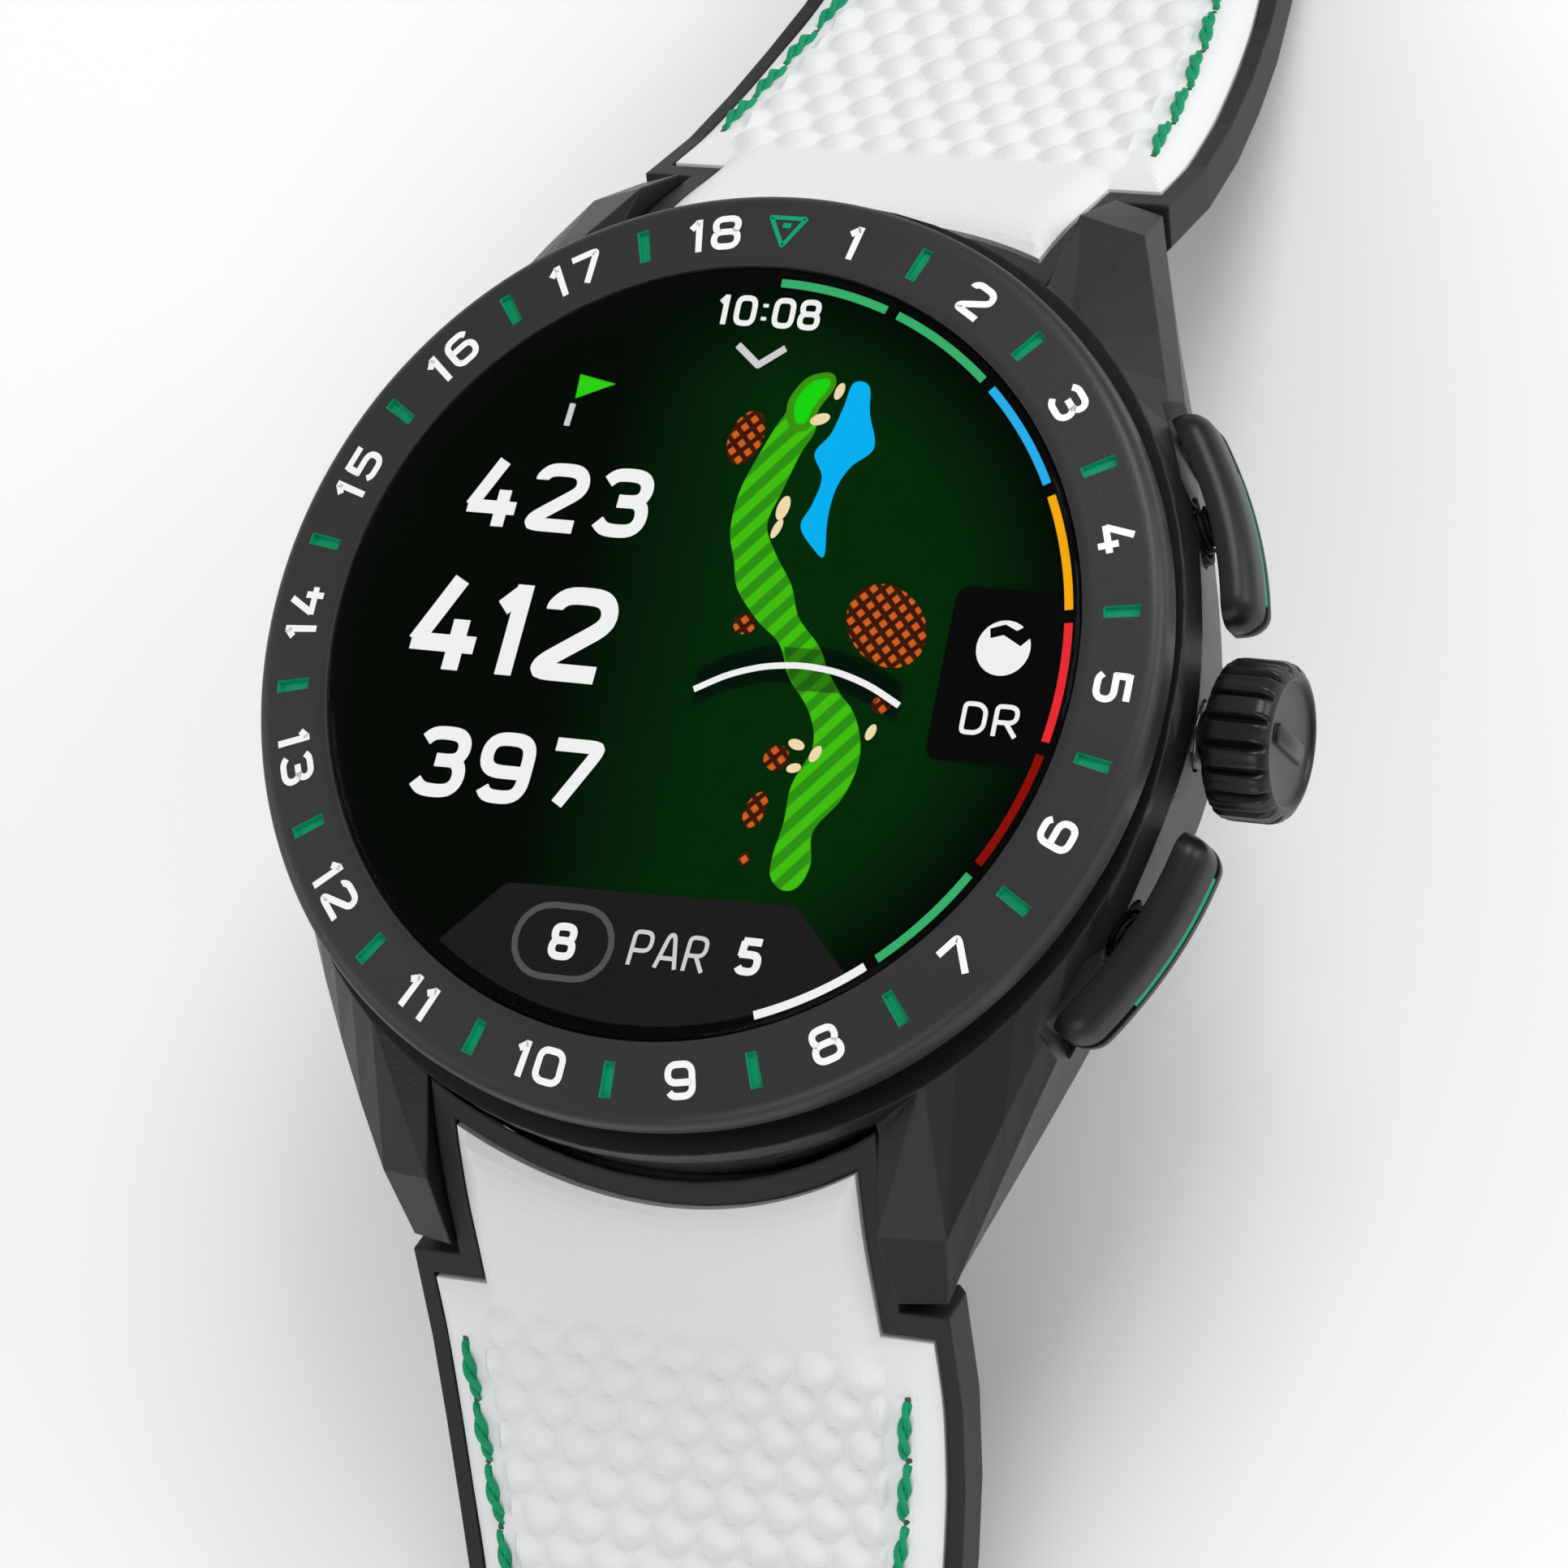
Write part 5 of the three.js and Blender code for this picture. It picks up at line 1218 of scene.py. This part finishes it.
def leather_cover(half):
    """A closed leather body for one strap half."""
    y_end = LEATHER_END[half.side]
    middle = np.linspace(-NARROW, NARROW, 2 * round(NARROW / FINE) + 1)
    count = round((half.run_at(y_end) - half.run_at(STEP_Y)) / FINE)
    far = [half.y_at(r) for r in np.linspace(half.run_at(STEP_Y), half.run_at(y_end), count + 1)]
    far = [STEP_Y] + [STEP_Y + 0.07] + far[1:-1] + [y_end - 0.08, y_end]
    near_rows = []
    starts = np.sqrt(ARC_R ** 2 - middle ** 2)
    for t in np.linspace(0, 1, NEAR_ROWS + 1)[:-1]:
        near_rows.append(list(zip(middle, starts + (STEP_Y - starts) * t)))
    blocks = [near_rows + [[(x, y) for x in middle] for y in far]]
    for sign in (-1, 1):
        shares = (1 - (1 - np.linspace(0, 1, SIDE_STEPS + 1)) ** 1.3)[::sign]
        blocks.append([[(sign * (NARROW + (half_width(y) - RIM - NARROW) * s), y) for s in shares]
                       for y in far])
    index, top, under, faces = {}, [], [], []
    for block in blocks:
        ids = []
        for row in block:
            level = len({y for _, y in row}) == 1
            lifts = leather_lift([x for x, _ in row], row[0][1], half, y_end) if level else None
            for i, (x, y) in enumerate(row):
                key = (round(x, 4), round(y, 4))
                if key not in index:
                    lift = lifts[i] if level else leather_lift([x], y, half, y_end)[0]
                    index[key] = len(top)
                    top.append(half.place(x, y, lift))
                    under.append(half.place(x, y, -SKIN))
                ids.append(index[key])
        faces += [tuple(ids[i] for i in f) for f in tie_grid(len(block), len(block[0]))]
    sides = {(a, b) for f in faces for a, b in zip(f, f[1:] + f[:1])}
    walls = [(b, a, a + len(top), b + len(top)) for a, b in sorted(sides) if (b, a) not in sides]
    shell = faces + [tuple(i + len(top) for i in f[::-1]) for f in faces] + walls
    cover = make_piece(f"{half.side}_leather", top + under, shell, [leather], smooth=0)
    keep(cover, f"{half.side}_strap", "white_leather", f"{half.side}_strap_leather")


for half in halves:
    leather_cover(half)

# %% [markdown]
# ## A tree that repeats a piece
# The leather has dozens of stitches and as many holes. One Geometry Nodes tree sets them all
# out: it reads a cloud of points, each with a turn stored on it, puts a copy of one small piece
# on every point with a slightly uneven size, and gives the copies their finish.
# The result is made real and becomes one plain mesh for each strap half.

# %% The repeat tree
repeat = bpy.data.node_groups.new("repeat_on_points", "GeometryNodeTree")
for label, kind in (("Points", "NodeSocketGeometry"), ("Piece", "NodeSocketObject"),
                    ("Finish", "NodeSocketMaterial"), ("Smallest", "NodeSocketFloat"),
                    ("Largest", "NodeSocketFloat"), ("Seed", "NodeSocketInt")):
    repeat.interface.new_socket(label, in_out="INPUT", socket_type=kind)
repeat.interface.new_socket("Copies", in_out="OUTPUT", socket_type="NodeSocketGeometry")
given, result = repeat.nodes.new("NodeGroupInput"), repeat.nodes.new("NodeGroupOutput")
piece_info = repeat.nodes.new("GeometryNodeObjectInfo")
stored_turn = repeat.nodes.new("GeometryNodeInputNamedAttribute")
stored_turn.data_type = "FLOAT_VECTOR"
stored_turn.inputs["Name"].default_value = "turn"
as_rotation = repeat.nodes.new("FunctionNodeEulerToRotation")
uneven = repeat.nodes.new("FunctionNodeRandomValue")
uneven.data_type = "FLOAT"
copies = repeat.nodes.new("GeometryNodeInstanceOnPoints")
realize = repeat.nodes.new("GeometryNodeRealizeInstances")
finish_node = repeat.nodes.new("GeometryNodeSetMaterial")


def float_socket(node, label):
    """The float socket of a node that has sockets of several kinds with one name."""
    return next(s for s in node.inputs if s.name == label and s.type == "VALUE")


repeat.links.new(given.outputs["Points"], copies.inputs["Points"])
repeat.links.new(given.outputs["Piece"], piece_info.inputs["Object"])
repeat.links.new(piece_info.outputs["Geometry"], copies.inputs["Instance"])
repeat.links.new(next(s for s in stored_turn.outputs if s.name == "Attribute" and s.enabled),
                 as_rotation.inputs["Euler"])
repeat.links.new(as_rotation.outputs["Rotation"], copies.inputs["Rotation"])
repeat.links.new(given.outputs["Smallest"], float_socket(uneven, "Min"))
repeat.links.new(given.outputs["Largest"], float_socket(uneven, "Max"))
repeat.links.new(given.outputs["Seed"], uneven.inputs["Seed"])
repeat.links.new(next(s for s in uneven.outputs if s.type == "VALUE"), copies.inputs["Scale"])
repeat.links.new(copies.outputs["Instances"], realize.inputs["Geometry"])
repeat.links.new(realize.outputs["Geometry"], finish_node.inputs["Geometry"])
repeat.links.new(given.outputs["Finish"], finish_node.inputs["Material"])
repeat.links.new(finish_node.outputs["Geometry"], result.inputs["Copies"])


def set_out(name, places, turns, piece, material, spread=0.0, seed=1):
    """Runs the tree on points in millimetres and returns the copies as one plain mesh object."""
    cloud = make_piece(name + "_points", places, [], [], smooth=0)
    stored = cloud.data.attributes.new("turn", "FLOAT_VECTOR", "POINT")
    stored.data.foreach_set("vector", np.array(turns, np.float32).ravel())
    modifier = cloud.modifiers.new("repeat", "NODES")
    modifier.node_group = repeat
    values = {"Piece": piece, "Finish": material, "Seed": seed,
              "Smallest": 1.0 - spread, "Largest": 1.0 + spread}
    for item in repeat.interface.items_tree:
        if item.in_out == "INPUT" and item.name in values:
            modifier[item.identifier] = values[item.name]
    bpy.context.view_layer.update()
    evaluated = cloud.evaluated_get(bpy.context.evaluated_depsgraph_get())
    mesh = bpy.data.meshes.new_from_object(evaluated)
    bpy.data.objects.remove(cloud)
    mesh.name = name
    mesh.shade_smooth()
    obj = bpy.data.objects.new(name, mesh)
    bpy.context.scene.collection.objects.link(obj)
    return obj


print("repeat tree has", len(repeat.nodes), "nodes")

# %% [markdown]
# ## Stitches
# A line of thick green thread runs down each side of the panel. A stitch is a short length of
# two plies twisted together, which rises out of one hole and sinks into the next. The plies
# are tubes along a helix, and the whole length is arched. Each hole is a small dark cap in a
# dimple of the leather: painted shade, which stands in for the shade inside the hole.

# %% Thread finish and one stitch
thread, thread_tree, thread_shader = new_material("green_thread")
thread_shader.inputs["Specular IOR Level"].default_value = 0.25
fibres = noise_on_object(thread_tree, 3.0, 9000.0)
thread_tree.links.new(
    mix_colours(thread_tree, fibres.outputs["Fac"], (0.0, 0.13, 0.055), (0.004, 0.40, 0.17)),
    thread_shader.inputs["Base Color"])
thread_tree.links.new(map_range(thread_tree, fibres.outputs["Fac"], 0.0, 1.0, 0.5, 0.75),
                      thread_shader.inputs["Roughness"])
fibre_bump = thread_tree.nodes.new("ShaderNodeBump")
fibre_bump.inputs["Distance"].default_value = 0.02 * MM
thread_tree.links.new(fibres.outputs["Fac"], fibre_bump.inputs["Height"])
thread_tree.links.new(fibre_bump.outputs["Normal"], thread_shader.inputs["Normal"])
PLY_R, TWIST_R, TWISTS, PLY_STEPS, PLY_SIDES = 0.20, 0.16, 1.3, 16, 6
ARCH, SUNK = 0.42, 0.25
stitch_points, stitch_faces = [], []
for ply in (0.0, math.pi):
    start = len(stitch_points)
    for i in range(PLY_STEPS + 1):
        t = i / PLY_STEPS
        twist = ply + 2 * math.pi * TWISTS * t
        swell = 0.5 + 0.5 * math.sin(math.pi * t) ** 0.6
        arch = ARCH * math.sin(math.pi * t) ** 0.6 - SUNK
        for k in range(PLY_SIDES):
            a = 2 * math.pi * k / PLY_SIDES
            stitch_points.append((swell * (TWIST_R * math.cos(twist) + PLY_R * math.cos(a)),
                                  (t - 0.5) * STITCH * 0.97,
                                  arch + swell * (TWIST_R * math.sin(twist) + PLY_R * math.sin(a))))
    stitch_faces += tube_faces(PLY_STEPS + 1, PLY_SIDES, start=start)
stitch = make_piece("stitch", stitch_points, stitch_faces, [thread])
face_outwards(stitch)
PIT_STEPS, PIT_RINGS = 14, ((0.40, -0.05), (0.33, 0.03), (0.12, 0.04))
pit_turns_round = [2 * math.pi * k / PIT_STEPS for k in range(PIT_STEPS)]
pit_points = [(r * 0.8 * math.cos(a), r * math.sin(a), z) for r, z in PIT_RINGS for a in pit_turns_round]
pit_faces = tube_faces(len(PIT_RINGS), PIT_STEPS)
pit_faces.pop(-2)    # the pit stays open below
pit = make_piece("pit", pit_points, pit_faces, [thread])
# The hole's dark colour is painted shade: it stands in for the shade inside each stitch hole.
pit_shade = hard_finish("hole_shade", (0.05, 0.055, 0.05), (0.2, 0.2, 0.2), 0.7, 0.0, corner=0.03)
print("one stitch has", len(stitch_faces), "faces")

# %% Lines of stitches
SLANT, LAST_STITCH_END = math.radians(4.0), 1.6
for half in halves:
    y_end = LEATHER_END[half.side]
    places, turns, pit_places, pit_turns = [], [], [], []
    for sign in (-1, 1):
        run = half.run_at(FIRST_STITCH_Y)
        stop = half.run_at(y_end - LAST_STITCH_END)
        while run + STITCH <= stop:
            y0, y1 = half.y_at(run), half.y_at(run + STITCH)
            ends = []
            for y in (y0, y1):
                x = sign * stitch_x(y)
                ends.append(Vector(half.place(x, y, leather_lift([x], y, half, y_end)[0])))
            along = (ends[1] - ends[0]).normalized()
            middle_y = (y0 + y1) / 2
            tilt = half.tilt(middle_y)
            upward = Vector((0.0, -half.end * math.sin(tilt), math.cos(tilt)))
            across = along.cross(upward).normalized()
            upward = across.cross(along)
            along = along * math.cos(SLANT) - sign * across * math.sin(SLANT)
            across = along.cross(upward)
            turn_by = Matrix((across, along, upward)).transposed().to_euler()
            mid_x = sign * stitch_x(middle_y)
            places.append(half.place(mid_x, middle_y, leather_lift([mid_x], middle_y, half, y_end)[0]))
            turns.append(tuple(turn_by))
            for end in ends[:1] if run + 2 * STITCH <= stop else ends:
                pit_places.append(tuple(end))
                pit_turns.append(tuple(turn_by))
            run += STITCH
    stitches = set_out(f"{half.side}_stitches", places, turns, stitch, thread, spread=0.02, seed=7)
    keep(stitches, f"{half.side}_strap", "green_plastic")
    # The holes' dark caps are painted shade.
    pits = set_out(f"{half.side}_stitch_holes", pit_places, pit_turns, pit, pit_shade, seed=9)
    keep(pits, f"{half.side}_strap", "white_leather")
bpy.data.objects.remove(stitch)
bpy.data.objects.remove(pit)
